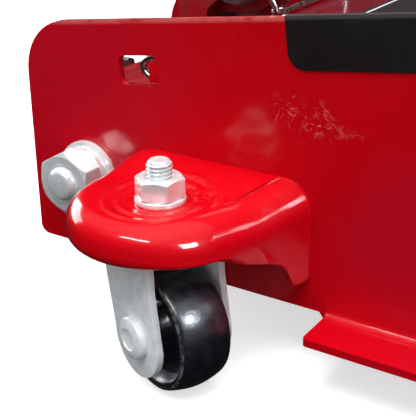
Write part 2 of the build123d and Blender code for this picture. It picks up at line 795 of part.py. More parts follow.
# ---------------------------------------------------------------- lift arm
def lift_arm(side):
    """Side plate of the lift arm, from the pivot to the saddle, with the lug for the ram."""
    with BuildPart() as arm:
        top = max(side * ARM_IN, side * (ARM_IN + ARM_T))
        with BuildSketch(xz_plane(top)):
            with Locations((wx(ARM_X), ARM_Z)):
                Circle(24)
            with Locations((wx(LUG_X), LUG_Z)):
                Circle(16)
            with Locations((wx(SADDLE_X), SADDLE_Z)):
                Circle(15)
            make_hull()
            with Locations((wx(ARM_X), ARM_Z)):
                Circle(SHAFT_R + FIT, mode=Mode.SUBTRACT)
            with Locations((wx(LUG_X), LUG_Z)):
                Circle(LUG_PIN_R, mode=Mode.SUBTRACT)
            with Locations((wx(SADDLE_X), SADDLE_Z)):
                Circle(8.0, mode=Mode.SUBTRACT)
        extrude(amount=ARM_T)
    return arm


def arm_cross_members():
    """Plate along the upper edge of the arm and tube around its pivot shaft, welded between its sides."""
    with BuildPart() as members:
        upper = math.atan2(ARM_DROP + 9.0, SADDLE_X - ARM_X)
        start = Vector(wx(ARM_X + 55), ARM_IN, ARM_Z + 23.8 - 55 * math.tan(upper) - 1.5)
        with BuildSketch(Plane(origin=start, x_dir=(math.cos(upper), 0, -math.sin(upper)), z_dir=(0, -1, 0))):
            with Locations((90, -2.5)):
                Rectangle(180, 5)
        extrude(amount=2 * ARM_IN)
        rod_y(ARM_X, ARM_Z, 17.0, -ARM_IN, ARM_IN)
        rod_y(ARM_X, ARM_Z, SHAFT_R + FIT, -ARM_IN - 1, ARM_IN + 1, mode=Mode.SUBTRACT)
    return members


def arm_lug_pin():
    """Pin across the arm's lugs, working in the crosshead's slot."""
    with BuildPart() as pin:
        rod_y(LUG_X, LUG_Z, LUG_PIN_R, -ARM_IN - ARM_T, ARM_IN + ARM_T)
    return pin


def saddle_pin():
    """Pin between the arm's tip and the saddle base."""
    with BuildPart() as pin:
        rod_y(SADDLE_X, SADDLE_Z, 8.0, -ARM_IN - ARM_T, ARM_IN + ARM_T)
    return pin


def saddle_base():
    """Levelled base of the saddle, with its table and the lug of the levelling links."""
    lug_x = SADDLE_X + LINK_DX
    lug_z = SADDLE_Z + LINK_DZ
    width = ARM_IN - 1.2
    with BuildPart() as base:
        with BuildSketch(xz_plane(width)):
            with Locations((wx(SADDLE_X), SADDLE_Z)):
                Circle(15)
            with Locations((wx(lug_x), lug_z)):
                Circle(11)
            with Locations((wx(SADDLE_X), TABLE_TOP - 3)):
                Rectangle(44, 6)
            make_hull()
        extrude(amount=2 * width)
        rod_z(SADDLE_X, 0, 33.0, TABLE_LOW, TABLE_TOP)
        rod_z(SADDLE_X, 0, 9 + FIT, TABLE_TOP - 15, TABLE_TOP + 1, mode=Mode.SUBTRACT)
        rod_y(SADDLE_X, SADDLE_Z, 8.0 + FIT, -40, 40, mode=Mode.SUBTRACT)
        rod_y(lug_x, lug_z, LINK_PIN_R, -40, 40, mode=Mode.SUBTRACT)
    return base


def level_link_pin():
    """Pin through the saddle base that carries the front ends of the links."""
    x = SADDLE_X + LINK_DX
    z = SADDLE_Z + LINK_DZ
    with BuildPart() as pin:
        rod_y(x, z, LINK_PIN_R, -41, 41)
        for side in (-1, 1):
            ends = sorted((side * (ARM_IN - 1.2), side * (LINK_IN - 0.4)))
            rod_y(x, z, 8.5, ends[0], ends[1])
            ends = sorted((side * (LINK_IN + LINK_T + 0.4), side * 41.0))
            rod_y(x, z, 8.5, ends[0], ends[1])
    return pin


def level_links():
    """Two parallel links that keep the saddle level."""
    with BuildPart() as links:
        for side in (-1, 1):
            top = max(side * LINK_IN, side * (LINK_IN + LINK_T))
            with BuildSketch(xz_plane(top)):
                ends = [
                    (wx(ARM_X + LINK_DX), ARM_Z + LINK_DZ),
                    (wx(SADDLE_X + LINK_DX), SADDLE_Z + LINK_DZ),
                ]
                with Locations(ends):
                    Circle(9.5)
                make_hull()
                with Locations(ends[0]):
                    Circle(LINK_PIN_R + FIT, mode=Mode.SUBTRACT)
                with Locations(ends[1]):
                    Circle(LINK_PIN_R + 0.4, mode=Mode.SUBTRACT)
            extrude(amount=LINK_T)
    return links


def saddle():
    """Round saddle with a rim, four teeth and a raised centre pad, on a stud in its base."""
    low = TABLE_TOP + 0.3
    with BuildPart() as cup:
        rod_z(SADDLE_X, 0, 38.0, low, low + 4)
        rod_z(SADDLE_X, 0, SADDLE_R, low + 3, SADDLE_TOP - 4)
        rod_z(SADDLE_X, 0, SADDLE_R - 6, low + 5, SADDLE_TOP, mode=Mode.SUBTRACT)
        with BuildSketch(Plane.XY.offset(SADDLE_TOP - 4)):
            with Locations((wx(SADDLE_X), 0)):
                with PolarLocations(SADDLE_R - 3, 8):
                    Rectangle(6, 13)
        extrude(amount=2.5)
        rod_z(SADDLE_X, 0, 20.0, low + 4, SADDLE_TOP)
        rod_z(SADDLE_X, 0, 9.0, TABLE_TOP - 14.5, low + 1)
    return cup


# ---------------------------------------------------------------- handle
TILT = math.radians(HANDLE_TILT)
HANDLE_DIR = Vector(-math.cos(TILT), 0, math.sin(TILT))


def handle_plane(distance):
    """Sketch plane across the handle at a distance from its pivot."""
    origin = Vector(wx(PIVOT_X), 0, PIVOT_Z) + HANDLE_DIR * distance
    return Plane(origin=origin, x_dir=(0, 1, 0), z_dir=HANDLE_DIR)


def handle_socket():
    """Handle socket: two cheeks on the pivot pin that carry the roller, and a tube for the handle."""
    cheek_in = ROLLER_HALF + 0.5
    with BuildPart() as socket:
        for low in (-SOCKET_HALF, cheek_in):
            with BuildSketch(xz_plane(low + SOCKET_HALF - cheek_in)):
                with Locations((wx(PIVOT_X), PIVOT_Z)):
                    Circle(LUG_R)
                with Locations((wx(ROLLER_X), ROLLER_Z)):
                    Circle(ROLLER_R - 0.4)
                make_hull()
            extrude(amount=SOCKET_HALF - cheek_in)
        with BuildSketch(handle_plane(12)):
            Circle(SOCKET_R)
        extrude(amount=SOCKET_END - 12)
        rod_y(PIVOT_X, PIVOT_Z, LUG_R - 1.5, -SOCKET_HALF, SOCKET_HALF)
        with BuildSketch(handle_plane(TUBE_START)):
            Circle(TUBE_R)
        extrude(amount=SOCKET_END - TUBE_START + 4, mode=Mode.SUBTRACT)
        rod_y(ROLLER_X, ROLLER_Z, ROLLER_R + 0.6, -cheek_in, cheek_in, mode=Mode.SUBTRACT)
        rod_y(ROLLER_X, ROLLER_Z, STUB_R + FIT, -SOCKET_HALF - 1, SOCKET_HALF + 1, mode=Mode.SUBTRACT)
        rod_y(PIVOT_X, PIVOT_Z, PIVOT_R + FIT, -SOCKET_HALF - 1, SOCKET_HALF + 1, mode=Mode.SUBTRACT)
        with BuildSketch(handle_screw_plane(SOCKET_R + 2)):
            Circle(4.0)
        extrude(amount=-8, mode=Mode.SUBTRACT)
    return socket


def handle_screw_plane(height):
    """Sketch plane of the lock screw, on top of the socket tube."""
    out = Vector(math.sin(TILT), 0, math.cos(TILT))
    origin = Vector(wx(PIVOT_X), 0, PIVOT_Z) + HANDLE_DIR * 112 + out * height
    return Plane(origin=origin, x_dir=(0, 1, 0), z_dir=out)


def pump_roller():
    """Roller that presses the pump plunger, with its stub axle."""
    with BuildPart() as roller:
        rod_y(ROLLER_X, ROLLER_Z, ROLLER_R, -ROLLER_HALF, ROLLER_HALF)
        rod_y(ROLLER_X, ROLLER_Z, STUB_R, -SOCKET_HALF, SOCKET_HALF)
    return roller


def handle_lower_tube():
    """Lower handle tube, seated in the socket."""
    with BuildPart() as tube:
        with BuildSketch(handle_plane(TUBE_START)):
            Circle(TUBE_R)
            Circle(TUBE_R - 2.4, mode=Mode.SUBTRACT)
        extrude(amount=LOWER_END - TUBE_START)
    return tube


def handle_upper_tube():
    """Upper handle tube, pushed into the lower one."""
    with BuildPart() as tube:
        with BuildSketch(handle_plane(LOWER_END - 50)):
            Circle(TUBE_R - 2.4)
            Circle(TUBE_R - 4.6, mode=Mode.SUBTRACT)
        extrude(amount=HANDLE_END - LOWER_END + 45)
    return tube


def handle_grip():
    """Rubber grip over the end of the handle."""
    with BuildPart() as grip:
        with BuildSketch(handle_plane(HANDLE_END - 130)):
            Circle(TUBE_R + 1.0)
        extrude(amount=130)
        fillet(edges().filter_by(GeomType.CIRCLE), 2.5)
        with BuildSketch(handle_plane(HANDLE_END - 131)):
            Circle(TUBE_R - 2.4)
        extrude(amount=126, mode=Mode.SUBTRACT)
    return grip


def handle_lock_screw():
    """Screw that clamps the handle in its socket."""
    with BuildPart() as screw:
        with BuildSketch(handle_screw_plane(TUBE_R)):
            Circle(4.0)
        extrude(amount=14)
        with BuildSketch(handle_screw_plane(TUBE_R + 8)):
            RegularPolygon(7.5, 6, major_radius=False)
        extrude(amount=6)
    return screw


def handle_torsion_spring():
    """Double torsion spring on the ends of the pivot pin, bridged in front of the socket."""
    bridge_x = PIVOT_X + 15.2
    bridge_z = PIVOT_Z - 13.6
    with BuildPart() as spring:
        for side in (-1, 1):
            for turn in range(3):
                with Locations((wx(PIVOT_X), side * (SPRING_IN + SPRING_PITCH * turn), PIVOT_Z)):
                    Torus(SPRING_COIL_R, SPRING_WIRE, rotation=(90, 0, 0))
            leg_top = Vector(wx(PIVOT_X + SPRING_COIL_R), side * SPRING_IN, PIVOT_Z)
            leg_end = Vector(wx(bridge_x), side * SPRING_IN, bridge_z)
            with BuildSketch(Plane(origin=leg_top, x_dir=(0, 1, 0), z_dir=leg_end - leg_top)):
                Circle(SPRING_WIRE)
            extrude(amount=(leg_end - leg_top).length)
            with Locations(leg_end):
                Sphere(SPRING_WIRE)
        rod_y(bridge_x, bridge_z, SPRING_WIRE, -SPRING_IN, SPRING_IN)
    return spring


def pump_plunger():
    """Pump plunger with the collar of its spring."""
    with BuildPart() as plunger:
        rod_z(ROLLER_X, 0, PLUNGER_R, 58, PLUNGER_TOP)
        rod_z(ROLLER_X, 0, COLLAR_R, COLLAR_LOW, COLLAR_LOW + COLLAR_T)
    return plunger


def release_valve():
    """Release valve spindle with its knob at the rear."""
    with BuildPart() as valve:
        rod_x(0, VALVE_Z, VALVE_R, 4, BLOCK_REAR + 24)
        rod_x(0, VALVE_Z, 11.0, 2, 11)
        with BuildSketch(Plane.YZ.offset(wx(1))):
            with Locations((0, VALVE_Z)):
                with PolarLocations(12.0, 8):
                    Circle(2.2)
        extrude(amount=11, mode=Mode.SUBTRACT)
    return valve


os.makedirs("parts", exist_ok=True)

plate_right = side_plate_right()
save(plate_right, "side_plate_right")
save(mirrored(plate_right), "side_plate_left")
bracket_right = caster_bracket_right()
save(bracket_right, "caster_bracket_right")
save(mirrored(bracket_right), "caster_bracket_left")
save(top_cover(), "top_cover")
save(top_label(), "top_label")
save(side_decals(), "side_decals")
save(spring_anchors(), "spring_anchors")
save(front_axle(), "front_axle")
save(front_axle_caps(), "front_axle_caps")
save(front_cross_tube(), "front_cross_tube")
save(rear_tie_bolt(), "rear_tie_bolt")
save(ring_pair(TIE_X, TIE_Z, 14.4, TIE_R, PLATE_OUT, 3.0), "rear_flat_washers")
save(ring_pair(TIE_X, TIE_Z, 12.8, TIE_R, PLATE_OUT + 3.0, 4.0), "rear_spring_washers")
save(nut_pair(TIE_X, TIE_Z, TIE_NUT_AF, TIE_R, PLATE_OUT + 7.0, 11.0, 0), "rear_nuts")
save(pump_block(), "pump_block")
save(reservoir_tube(), "reservoir_tube")
save(ram_cylinder(), "ram_cylinder")
save(cylinder_gland(), "cylinder_gland")
save(oil_filler_plug(), "oil_filler_plug")
save(pump_spring(), "pump_spring")
save(handle_pivot_pin(), "handle_pivot_pin")
save(arm_pivot_shaft(), "arm_pivot_shaft")
save(nut_pair(ARM_X, ARM_Z, 32.0, SHAFT_R, PLATE_OUT, 11.0, 5), "arm_pivot_nuts")
save(level_link_studs(), "level_link_studs")
save(caster_studs(), "caster_studs")
save(caster_nuts(), "caster_nuts")
save(caster_washers(), "caster_washers")
for caster_piece, piece_name in (
    (caster_fork_right(), "caster_fork"),
    (caster_axle_right(), "caster_axle"),
    (caster_wheel_right(), "caster_wheel"),
):
    save(caster_piece, f"{piece_name}_right")
    save(mirrored(caster_piece), f"{piece_name}_left")
for wheel_side, side_name in ((-1, "right"), (1, "left")):
    save(front_wheel(wheel_side), f"front_wheel_{side_name}")
    save(lift_arm(wheel_side), f"lift_arm_{side_name}")
save(ram_rod(), "ram_rod")
save(ram_piston(), "ram_piston")
save(piston_seal(), "piston_seal")
save(ram_crosshead(), "ram_crosshead")
save(spring_bar(), "spring_bar")
save(return_springs(), "return_springs")
save(arm_cross_members(), "arm_cross_members")
save(arm_lug_pin(), "arm_lug_pin")
save(saddle_pin(), "saddle_pin")
save(saddle_base(), "saddle_base")
save(level_link_pin(), "level_link_pin")
save(level_links(), "level_links")
save(saddle(), "saddle")
save(handle_socket(), "handle_socket")
save(pump_roller(), "pump_roller")
save(handle_lower_tube(), "handle_lower_tube")
save(handle_upper_tube(), "handle_upper_tube")
save(handle_grip(), "handle_grip")
save(handle_lock_screw(), "handle_lock_screw")
save(handle_torsion_spring(), "handle_torsion_spring")
save(pump_plunger(), "pump_plunger")
save(release_valve(), "release_valve")
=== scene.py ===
import bmesh
import bpy
import json
import math
from mathutils import Matrix, Quaternion, Vector


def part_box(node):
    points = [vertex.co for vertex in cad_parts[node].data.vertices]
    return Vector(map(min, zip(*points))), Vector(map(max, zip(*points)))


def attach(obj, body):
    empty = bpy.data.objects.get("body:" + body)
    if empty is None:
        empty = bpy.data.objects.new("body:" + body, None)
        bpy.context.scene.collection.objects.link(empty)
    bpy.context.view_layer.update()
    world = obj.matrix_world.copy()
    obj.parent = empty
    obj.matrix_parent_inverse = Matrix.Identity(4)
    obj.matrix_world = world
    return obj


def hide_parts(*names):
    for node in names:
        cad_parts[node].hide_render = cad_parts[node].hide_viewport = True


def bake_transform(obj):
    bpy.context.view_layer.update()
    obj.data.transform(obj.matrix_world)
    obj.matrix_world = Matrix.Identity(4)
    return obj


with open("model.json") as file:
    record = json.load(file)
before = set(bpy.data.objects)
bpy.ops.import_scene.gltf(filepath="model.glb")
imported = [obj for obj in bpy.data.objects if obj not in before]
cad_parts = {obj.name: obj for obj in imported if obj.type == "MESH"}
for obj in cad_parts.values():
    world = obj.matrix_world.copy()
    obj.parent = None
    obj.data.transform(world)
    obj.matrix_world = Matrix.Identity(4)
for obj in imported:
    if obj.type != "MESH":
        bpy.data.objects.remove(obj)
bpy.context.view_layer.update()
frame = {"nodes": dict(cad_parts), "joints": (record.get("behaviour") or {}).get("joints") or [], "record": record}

NODES = frame["nodes"]
SLOTS = {s["node"]: s["material_slot"] for s in frame["record"]["subparts"]}
JOINTS = {j["name"]: j for j in frame["joints"]}
MM = 0.001
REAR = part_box("side_plate_right")[0].x      # rear edge of the side plates
PLATE_OUT = 56.0
PLATE_REAR_TOP = 126.2
PLATE_SLOPE = 0.12
UP = Vector((0, 0, 1))
ACROSS = Vector((0, 1, 0))


def at(x, y, z):
    """A point in metres, given in millimetres from the rear edge of the side plates."""
    return Vector((REAR + x * MM, y * MM, z * MM))


def joint_place(name):
    return Vector(JOINTS[name]["pos_m"])


def ease(value, low, high):
    """0 under low, 1 over high, smooth between."""
    t = min(max((value - low) / (high - low), 0.0), 1.0)
    return t * t * (3 - 2 * t)


def swell(value, middle, width):
    return math.exp(-((value - middle) / width) ** 2)


# ---------------------------------------------------------------- shapes
def basis(axis):
    """Two directions square to the axis, and the axis."""
    w = Vector(axis).normalized()
    ref = UP if abs(w.z) < 0.9 else Vector((1, 0, 0))
    u = (ref - w * ref.dot(w)).normalized()
    return u, w.cross(u), w


class Shape:
    """Points and faces of one piece. Sizes are millimetres and places are metres."""

    def __init__(self):
        self.verts = []
        self.faces = []

    def grid(self, rows, wrap_rows=False, wrap_cols=True, caps=False):
        """Faces between rows of points."""
        base = len(self.verts)
        n = len(rows[0])
        for row in rows:
            self.verts.extend(row)
        for i in range(len(rows) if wrap_rows else len(rows) - 1):
            a = base + i * n
            b = base + (i + 1) % len(rows) * n
            for j in range(n if wrap_cols else n - 1):
                k = (j + 1) % n
                self.faces.append((a + j, a + k, b + k, b + j))
        if caps:
            last = base + (len(rows) - 1) * n
            self.faces.append(tuple(base + j for j in reversed(range(n))))
            self.faces.append(tuple(last + j for j in range(n)))

    def lathe(self, profile, place, axis, sides=72, closed=True):
        """A ring with the given (radius, height) outline round an axis."""
        u, v, w = basis(axis)
        rows = []
        for r, h in profile:
            rows.append([place + (w * h + (u * math.cos(a) + v * math.sin(a)) * r) * MM
                         for a in (math.tau * j / sides for j in range(sides))])
        self.grid(rows, wrap_rows=closed)

    def nut(self, place, axis, flats, bore, height, turn=0.0, crown=0.985):
        """Hexagon nut with both faces chamfered to a circle, and a countersunk bore."""
        u, v, w = basis(axis)
        sides = 180
        face = flats / 2 * crown
        rows = [[] for _ in range(10)]
        for j in range(sides):
            a = math.tau * j / sides
            shares = (max(math.cos(a - k * math.pi / 3), 0.0) ** 60 for k in range(6))
            reach = flats / 2 * sum(shares) ** (-1 / 60)
            drop = (reach - face) * 0.577
            out = u * math.cos(a + turn) + v * math.sin(a + turn)
            outline = ((bore, 1.1), (bore + 1.0, 0.1), (bore + 1.2, 0.0), (face, 0.0), (reach, drop),
                       (reach, height - drop), (face, height), (bore + 1.2, height),
                       (bore + 1.0, height - 0.1), (bore, height - 1.1))
            for row, (r, h) in zip(rows, outline):
                row.append(place + (out * r + w * h) * MM)
        self.grid(rows, wrap_rows=True)

    def flat_washer(self, place, axis, bore, radius, height):
        e = min(0.5, height * 0.3)
        self.lathe(((bore, e), (bore + e, 0), (radius - e, 0), (radius - e * 0.3, e * 0.3), (radius, e),
                    (radius, height - e), (radius - e * 0.3, height - e * 0.3), (radius - e, height),
                    (bore + e, height), (bore, height - e)), place, axis)

    def spring_washer(self, place, axis, bore, radius, height, start):
        """Split ring whose two ends stand a little apart."""
        u, v, w = basis(axis)
        e = 0.5
        section = ((bore, e), (bore + e, 0), (radius - e, 0), (radius, e), (radius, height - e),
                   (radius - e, height), (bore + e, height), (bore, height - e))
        rows = []
        for j in range(91):
            a = start + 0.07 + (math.tau - 0.14) * j / 90
            lift = 0.5 * (j / 90 - 0.5)
            out = u * math.cos(a) + v * math.sin(a)
            rows.append([place + (out * r + w * (h * 0.94 + 0.03 * height + lift)) * MM
                         for r, h in section])
        self.grid(rows, caps=True)

    def thread(self, place, axis, radius, pitch, length, depth, tip=1.4):
        """Screw thread that ends in a chamfered, slightly hollow tip."""
        u, v, w = basis(axis)
        sides = 64
        rows = []
        steps = int(length / pitch * 12)
        for i in range(steps + 1):
            h = length * i / steps
            row = []
            for j in range(sides):
                a = math.tau * j / sides
                wave = abs(((h / pitch - a / math.tau) % 1.0) * 2 - 1)
                r = radius - depth * min(max(wave * 1.5 - 0.2, 0.0), 1.0)
                r = min(r, radius - tip + (length - h))
                row.append(place + ((u * math.cos(a) + v * math.sin(a)) * r + w * h) * MM)
            rows.append(row)
        turns = [math.tau * j / sides for j in range(sides)]
        hollow = ((radius - tip - 0.5, length + 0.05), (radius * 0.45, length - 0.25), (0.0, length - 0.3))
        for r, h in hollow:
            rows.append([place + ((u * math.cos(a) + v * math.sin(a)) * r + w * h) * MM for a in turns])
        self.grid(rows)

    def sweep(self, points, radius, sides=12):
        """Round wire along a line of points."""
        rows = []
        side = None
        for i, p in enumerate(points):
            ahead = points[min(i + 1, len(points) - 1)] - points[max(i - 1, 0)]
            ahead.normalize()
            if side is None:
                side = basis(ahead)[0]
            side = (side - ahead * side.dot(ahead)).normalized()
            other = ahead.cross(side)
            rows.append([p + (side * math.cos(a) + other * math.sin(a)) * radius * MM
                         for a in (math.tau * j / sides for j in range(sides))])
        self.grid(rows, caps=True)

    def slab(self, outline, depth):
        """Flat plate: an outline pushed along depth."""
        self.grid([list(outline), [p + depth for p in outline]], caps=True)

    def make(self, name, body, slot, finish, replaces=(), bevel=0.0, angle=32, sheet=0.0, blend=None):
        """The finished piece, riding on its body."""
        mesh = bpy.data.meshes.new(name)
        mesh.from_pydata([tuple(v) for v in self.verts], [], self.faces)
        bm = bmesh.new()
        bm.from_mesh(mesh)
        bmesh.ops.remove_doubles(bm, verts=bm.verts, dist=2e-6)
        bmesh.ops.dissolve_degenerate(bm, edges=bm.edges, dist=1e-6)
        bmesh.ops.recalc_face_normals(bm, faces=bm.faces)
        if sheet:
            top = max(bm.faces, key=lambda f: f.calc_center_median().z)
            if top.normal.z < 0:
                bmesh.ops.reverse_faces(bm, faces=bm.faces)
        if bevel:
            sharp = [e for e in bm.edges if e.is_manifold and e.calc_face_angle(0) > 0.6]
            bmesh.ops.bevel(bm, geom=sharp, offset=bevel * MM, segments=2, profile=0.6, affect="EDGES",
                            clamp_overlap=True)
            bmesh.ops.recalc_face_normals(bm, faces=bm.faces)
        bm.to_mesh(mesh)
        bm.free()
        obj = bpy.data.objects.new(name, mesh)
        bpy.context.scene.collection.objects.link(obj)
        if sheet:
            solid = obj.modifiers.new("sheet", "SOLIDIFY")
            solid.thickness = sheet * MM
            solid.offset = -1
            edge = obj.modifiers.new("edge", "BEVEL")
            edge.width = 0.5 * MM
            edge.segments = 2
            edge.limit_method = "ANGLE"
            edge.angle_limit = math.radians(50)
            mesh = bpy.data.meshes.new_from_object(obj.evaluated_get(bpy.context.evaluated_depsgraph_get()))
            obj.modifiers.clear()
            obj.data = mesh
        mesh.shade_smooth()
        mesh.set_sharp_from_angle(angle=math.radians(angle))
        mesh.materials.clear()
        mesh.materials.append(finish)
        if blend:
            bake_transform(obj)
        else:
            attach(obj, body)
        if replaces:
            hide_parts(*replaces)
        return obj


# ---------------------------------------------------------------- finishes
class Finish:
    """A node material. Coordinates are the frame's own metres."""

    def __init__(self, name, **constant):
        self.material = bpy.data.materials.new(name)
        self.material.use_nodes = True
        self.tree = self.material.node_tree
        self.shader = self.tree.nodes["Principled BSDF"]
        self.place = self.node("ShaderNodeTexCoord").outputs["Object"]
        for key, value in constant.items():
            self.set(key.replace("_", " "), value)

    def set(self, socket, value):
        self.put(self.shader.inputs[socket], value)

    def put(self, socket, value):
        if isinstance(value, bpy.types.NodeSocket):
            self.tree.links.new(value, socket)
        elif isinstance(value, tuple) and socket.type == "RGBA":
            socket.default_value = value + (1.0,) if len(value) == 3 else value
        else:
            socket.default_value = value

    def node(self, kind, inputs=None, **settings):
        node = self.tree.nodes.new(kind)
        for key, value in settings.items():
            setattr(node, key, value)
        for key, value in (inputs or {}).items():
            self.put(node.inputs[key], value)
        return node

    def math(self, operation, a, b=0.0, clamp=False):
        return self.node("ShaderNodeMath", {0: a, 1: b}, operation=operation, use_clamp=clamp).outputs[0]

    def noise(self, scale, detail=3.0, rough=0.5, stretch=None, distortion=0.0):
        place = self.place
        if stretch:
            inputs = {0: place, 1: stretch}
            place = self.node("ShaderNodeVectorMath", inputs, operation="MULTIPLY").outputs[0]
        return self.node("ShaderNodeTexNoise", {"Vector": place, "Scale": scale, "Detail": detail,
                                                "Roughness": rough, "Distortion": distortion}).outputs[0]

    def cells(self, scale, feature="F1"):
        inputs = {"Vector": self.place, "Scale": scale}
        return self.node("ShaderNodeTexVoronoi", inputs, feature=feature).outputs[0]

    def ramp(self, value, low, high, to_low=0.0, to_high=1.0):
        return self.node("ShaderNodeMapRange", {"Value": value, "From Min": low, "From Max": high,
                                                "To Min": to_low, "To Max": to_high},
                         interpolation_type="SMOOTHSTEP").outputs[0]

    def mix(self, share, a, b):
        node = self.node("ShaderNodeMix", data_type="RGBA")
        self.put(node.inputs[0], share)
        self.put(node.inputs[6], a)
        self.put(node.inputs[7], b)
        return node.outputs[2]

    def bump(self, height, distance, strength=1.0, under=None):
        inputs = {"Height": height, "Distance": distance, "Strength": strength}
        if under is not None:
            inputs["Normal"] = under
        return self.node("ShaderNodeBump", inputs).outputs[0]

    def along(self, direction):
        """Distance along a direction, in metres."""
        inputs = {0: self.place, 1: direction}
        return self.node("ShaderNodeVectorMath", inputs, operation="DOT_PRODUCT").outputs["Value"]

    def near(self, middle, radii, soft=0.5):
        """1 round a point, fading to 0 at the given radii in metres."""
        inputs = {0: self.place, 1: tuple(middle)}
        off = self.node("ShaderNodeVectorMath", inputs, operation="SUBTRACT").outputs[0]
        off = self.node("ShaderNodeVectorMath", {0: off, 1: radii}, operation="DIVIDE").outputs[0]
        far = self.node("ShaderNodeVectorMath", {0: off}, operation="LENGTH").outputs["Value"]
        return self.ramp(far, 1.0 - soft, 1.0, 1.0, 0.0)

    def times(self, a, b):
        return self.math("MULTIPLY", a, b)

    def most(self, a, b):
        return self.math("MAXIMUM", a, b)


def red_paint(name, scuffs=(), plate=False, painted_light_gain=1.0, grain=1.0):
    """Gloss paint with orange peel, fine dust and a few rubbed marks. On the side plates it also has painted
    reflection patches and a painted highlight along the top edge; a gain on the red paints lighter, lit copies of
    the same paint.
    """
    f = Finish(name, Coat_Weight=1.0, Coat_Roughness=0.12 if plate else 0.04, Coat_IOR=1.4,
               Specular_IOR_Level=0.08)
    cloud = f.ramp(f.noise(9, 2), 0.2, 0.8)
    # A gain above 1 paints a lighter, lit copy of the same red
    base = f.mix(cloud, (0.50 * painted_light_gain, 0.0001, 0.004), (0.56 * painted_light_gain, 0.0002, 0.008))
    if plate:
        # Painted reflection: two patches on the plates where the red is mixed towards a lighter, hazier red,
        # standing in for reflected surroundings
        painted_reflection = f.most(f.near(at(30, -56, 105), (0.085, 0.3, 0.075), 0.7),
                      f.near(at(196, -56, 62), (0.05, 0.3, 0.045), 0.4))
        base = f.mix(f.times(painted_reflection, 0.8), base, (0.48, 0.003, 0.014))
    specks = f.ramp(f.cells(420), 0.07, 0.04)
    specks = f.times(specks, f.ramp(f.noise(60, 2), 0.52, 0.62))
    marks = f.times(specks, 0.55)
    for middle, radii, weight in scuffs:
        streak = f.ramp(f.noise(180, 6, 0.75, distortion=2.0), 0.52, 0.66)
        marks = f.most(marks, f.times(f.times(f.near(middle, radii, 0.8), streak), weight))
    if plate:
        # Painted highlight: a lighter, broken strip just under the plates' top edge, mixed in with the rubbed
        # marks
        edge = f.math("SUBTRACT", f.along((-PLATE_SLOPE, 0, 1)), (PLATE_REAR_TOP * MM - PLATE_SLOPE * REAR))
        painted_edge_highlight = f.times(f.ramp(edge, -0.0022, -0.0006), f.ramp(f.noise(150, 4), 0.3, 0.6))
        marks = f.most(marks, f.times(painted_edge_highlight, 0.5))
    # marks carries dust specks and scuffs, and on the plates also the painted top-edge highlight
    colour = f.mix(marks, base, (0.80, 0.22, 0.20))
    f.set("Base Color", colour)
    f.set("Roughness", f.ramp(f.math("ADD", f.noise(35, 3), marks), 0.3, 1.2, 0.22, 0.6))
    peel = f.bump(f.noise(330, 2), 0.00008 * grain, 0.55)
    waves = f.bump(f.noise(38, 2), 0.0006, 0.30, peel)
    f.set("Normal", f.bump(marks, 0.0001, 0.6, waves))
    f.set("Coat Normal", f.bump(f.noise(260, 2), 0.00005 * grain, 0.5, f.bump(f.noise(30, 2), 0.0007, 0.3)))
    return f.material


def cast_paint(name, low, high):
    """Thick paint over a casting's skin."""
    f = Finish(name, Coat_Weight=0.7, Coat_Roughness=0.12)
    f.set("Base Color", f.mix(f.ramp(f.noise(45, 5), 0.35, 0.65), low, high))
    f.set("Roughness", f.ramp(f.noise(120, 3), 0.3, 0.7, 0.3, 0.5))
    skin = f.bump(f.noise(450, 4, 0.6), 0.00035, 0.6)
    f.set("Normal", skin)
    f.set("Coat Normal", f.bump(f.noise(300, 3), 0.00018, 0.5))
    return f.material


def cover_finish():
    """Dark red paint with light specks."""
    f = Finish("cover_finish", Coat_Weight=0.8, Coat_Roughness=0.08)
    specks = f.ramp(f.cells(900), 0.22, 0.12)
    base = f.mix(f.ramp(f.noise(60, 4), 0.3, 0.7), (0.17, 0.004, 0.012), (0.24, 0.008, 0.02))
    f.set("Base Color", f.mix(f.times(specks, 0.6), base, (0.6, 0.12, 0.14)))
    f.set("Roughness", 0.35)
    f.set("Normal", f.bump(f.noise(500, 3), 0.00012, 0.5))
    return f.material


def zinc(name, tone=0.98, rough=0.09, grain=0.6, metal=0.42):
    """Bright zinc plating with a faint cloud, tool marks and a trace of grease."""
    f = Finish(name, Metallic=metal)
    cloud = f.noise(220, 5, 0.6)
    cool = (tone * 0.91, tone * 0.97, tone)
    warm = (tone * 0.80, tone * 0.82, tone * 0.84)
    stain = f.times(f.ramp(f.noise(130, 4), 0.6, 0.8), 0.3)
    f.set("Base Color", f.mix(stain, f.mix(f.ramp(cloud, 0.35, 0.7), cool, warm), (0.35, 0.33, 0.31)))
    f.set("Roughness", f.ramp(f.noise(300, 3), 0.25, 0.75, rough, rough + 0.14))
    marks = f.bump(f.noise(900, 2, 0.5), 0.00004 * grain, 0.4)
    f.set("Normal", f.bump(f.noise(120, 2), 0.0002 * grain, 0.25, marks))
    return f.material


def wheel_finish():
    """Black gloss paint with fine texture and patchy wear; the rubbed rim edges are separate rings with their own
    finish.
    """
    f = Finish("wheel_finish", Coat_Weight=1.0, Coat_Roughness=0.20, Coat_Tint=(0.85, 0.9, 1.0))
    worn = f.ramp(f.noise(150, 5), 0.5, 0.8)
    f.set("Base Color", f.mix(worn, (0.006, 0.006, 0.009), (0.022, 0.022, 0.03)))
    f.set("Roughness", f.ramp(f.noise(200, 3), 0.3, 0.7, 0.3, 0.5))
    skin = f.bump(f.noise(900, 4, 0.65), 0.00022, 0.6)
    f.set("Normal", skin)
    f.set("Coat Normal", f.bump(f.noise(750, 3, 0.6), 0.00016, 0.55))
    return f.material


def worn_edge_finish():
    """Paint rubbed to a dull grey line."""
    f = Finish("worn_edge_finish", Coat_Weight=0.3, Coat_Roughness=0.3)
    worn = f.ramp(f.noise(420, 4), 0.42, 0.62)
    f.set("Base Color", f.mix(worn, (0.012, 0.012, 0.014), (0.12, 0.12, 0.125)))
    f.set("Roughness", 0.45)
    f.set("Normal", f.bump(f.noise(900, 3), 0.0001, 0.5))
    return f.material


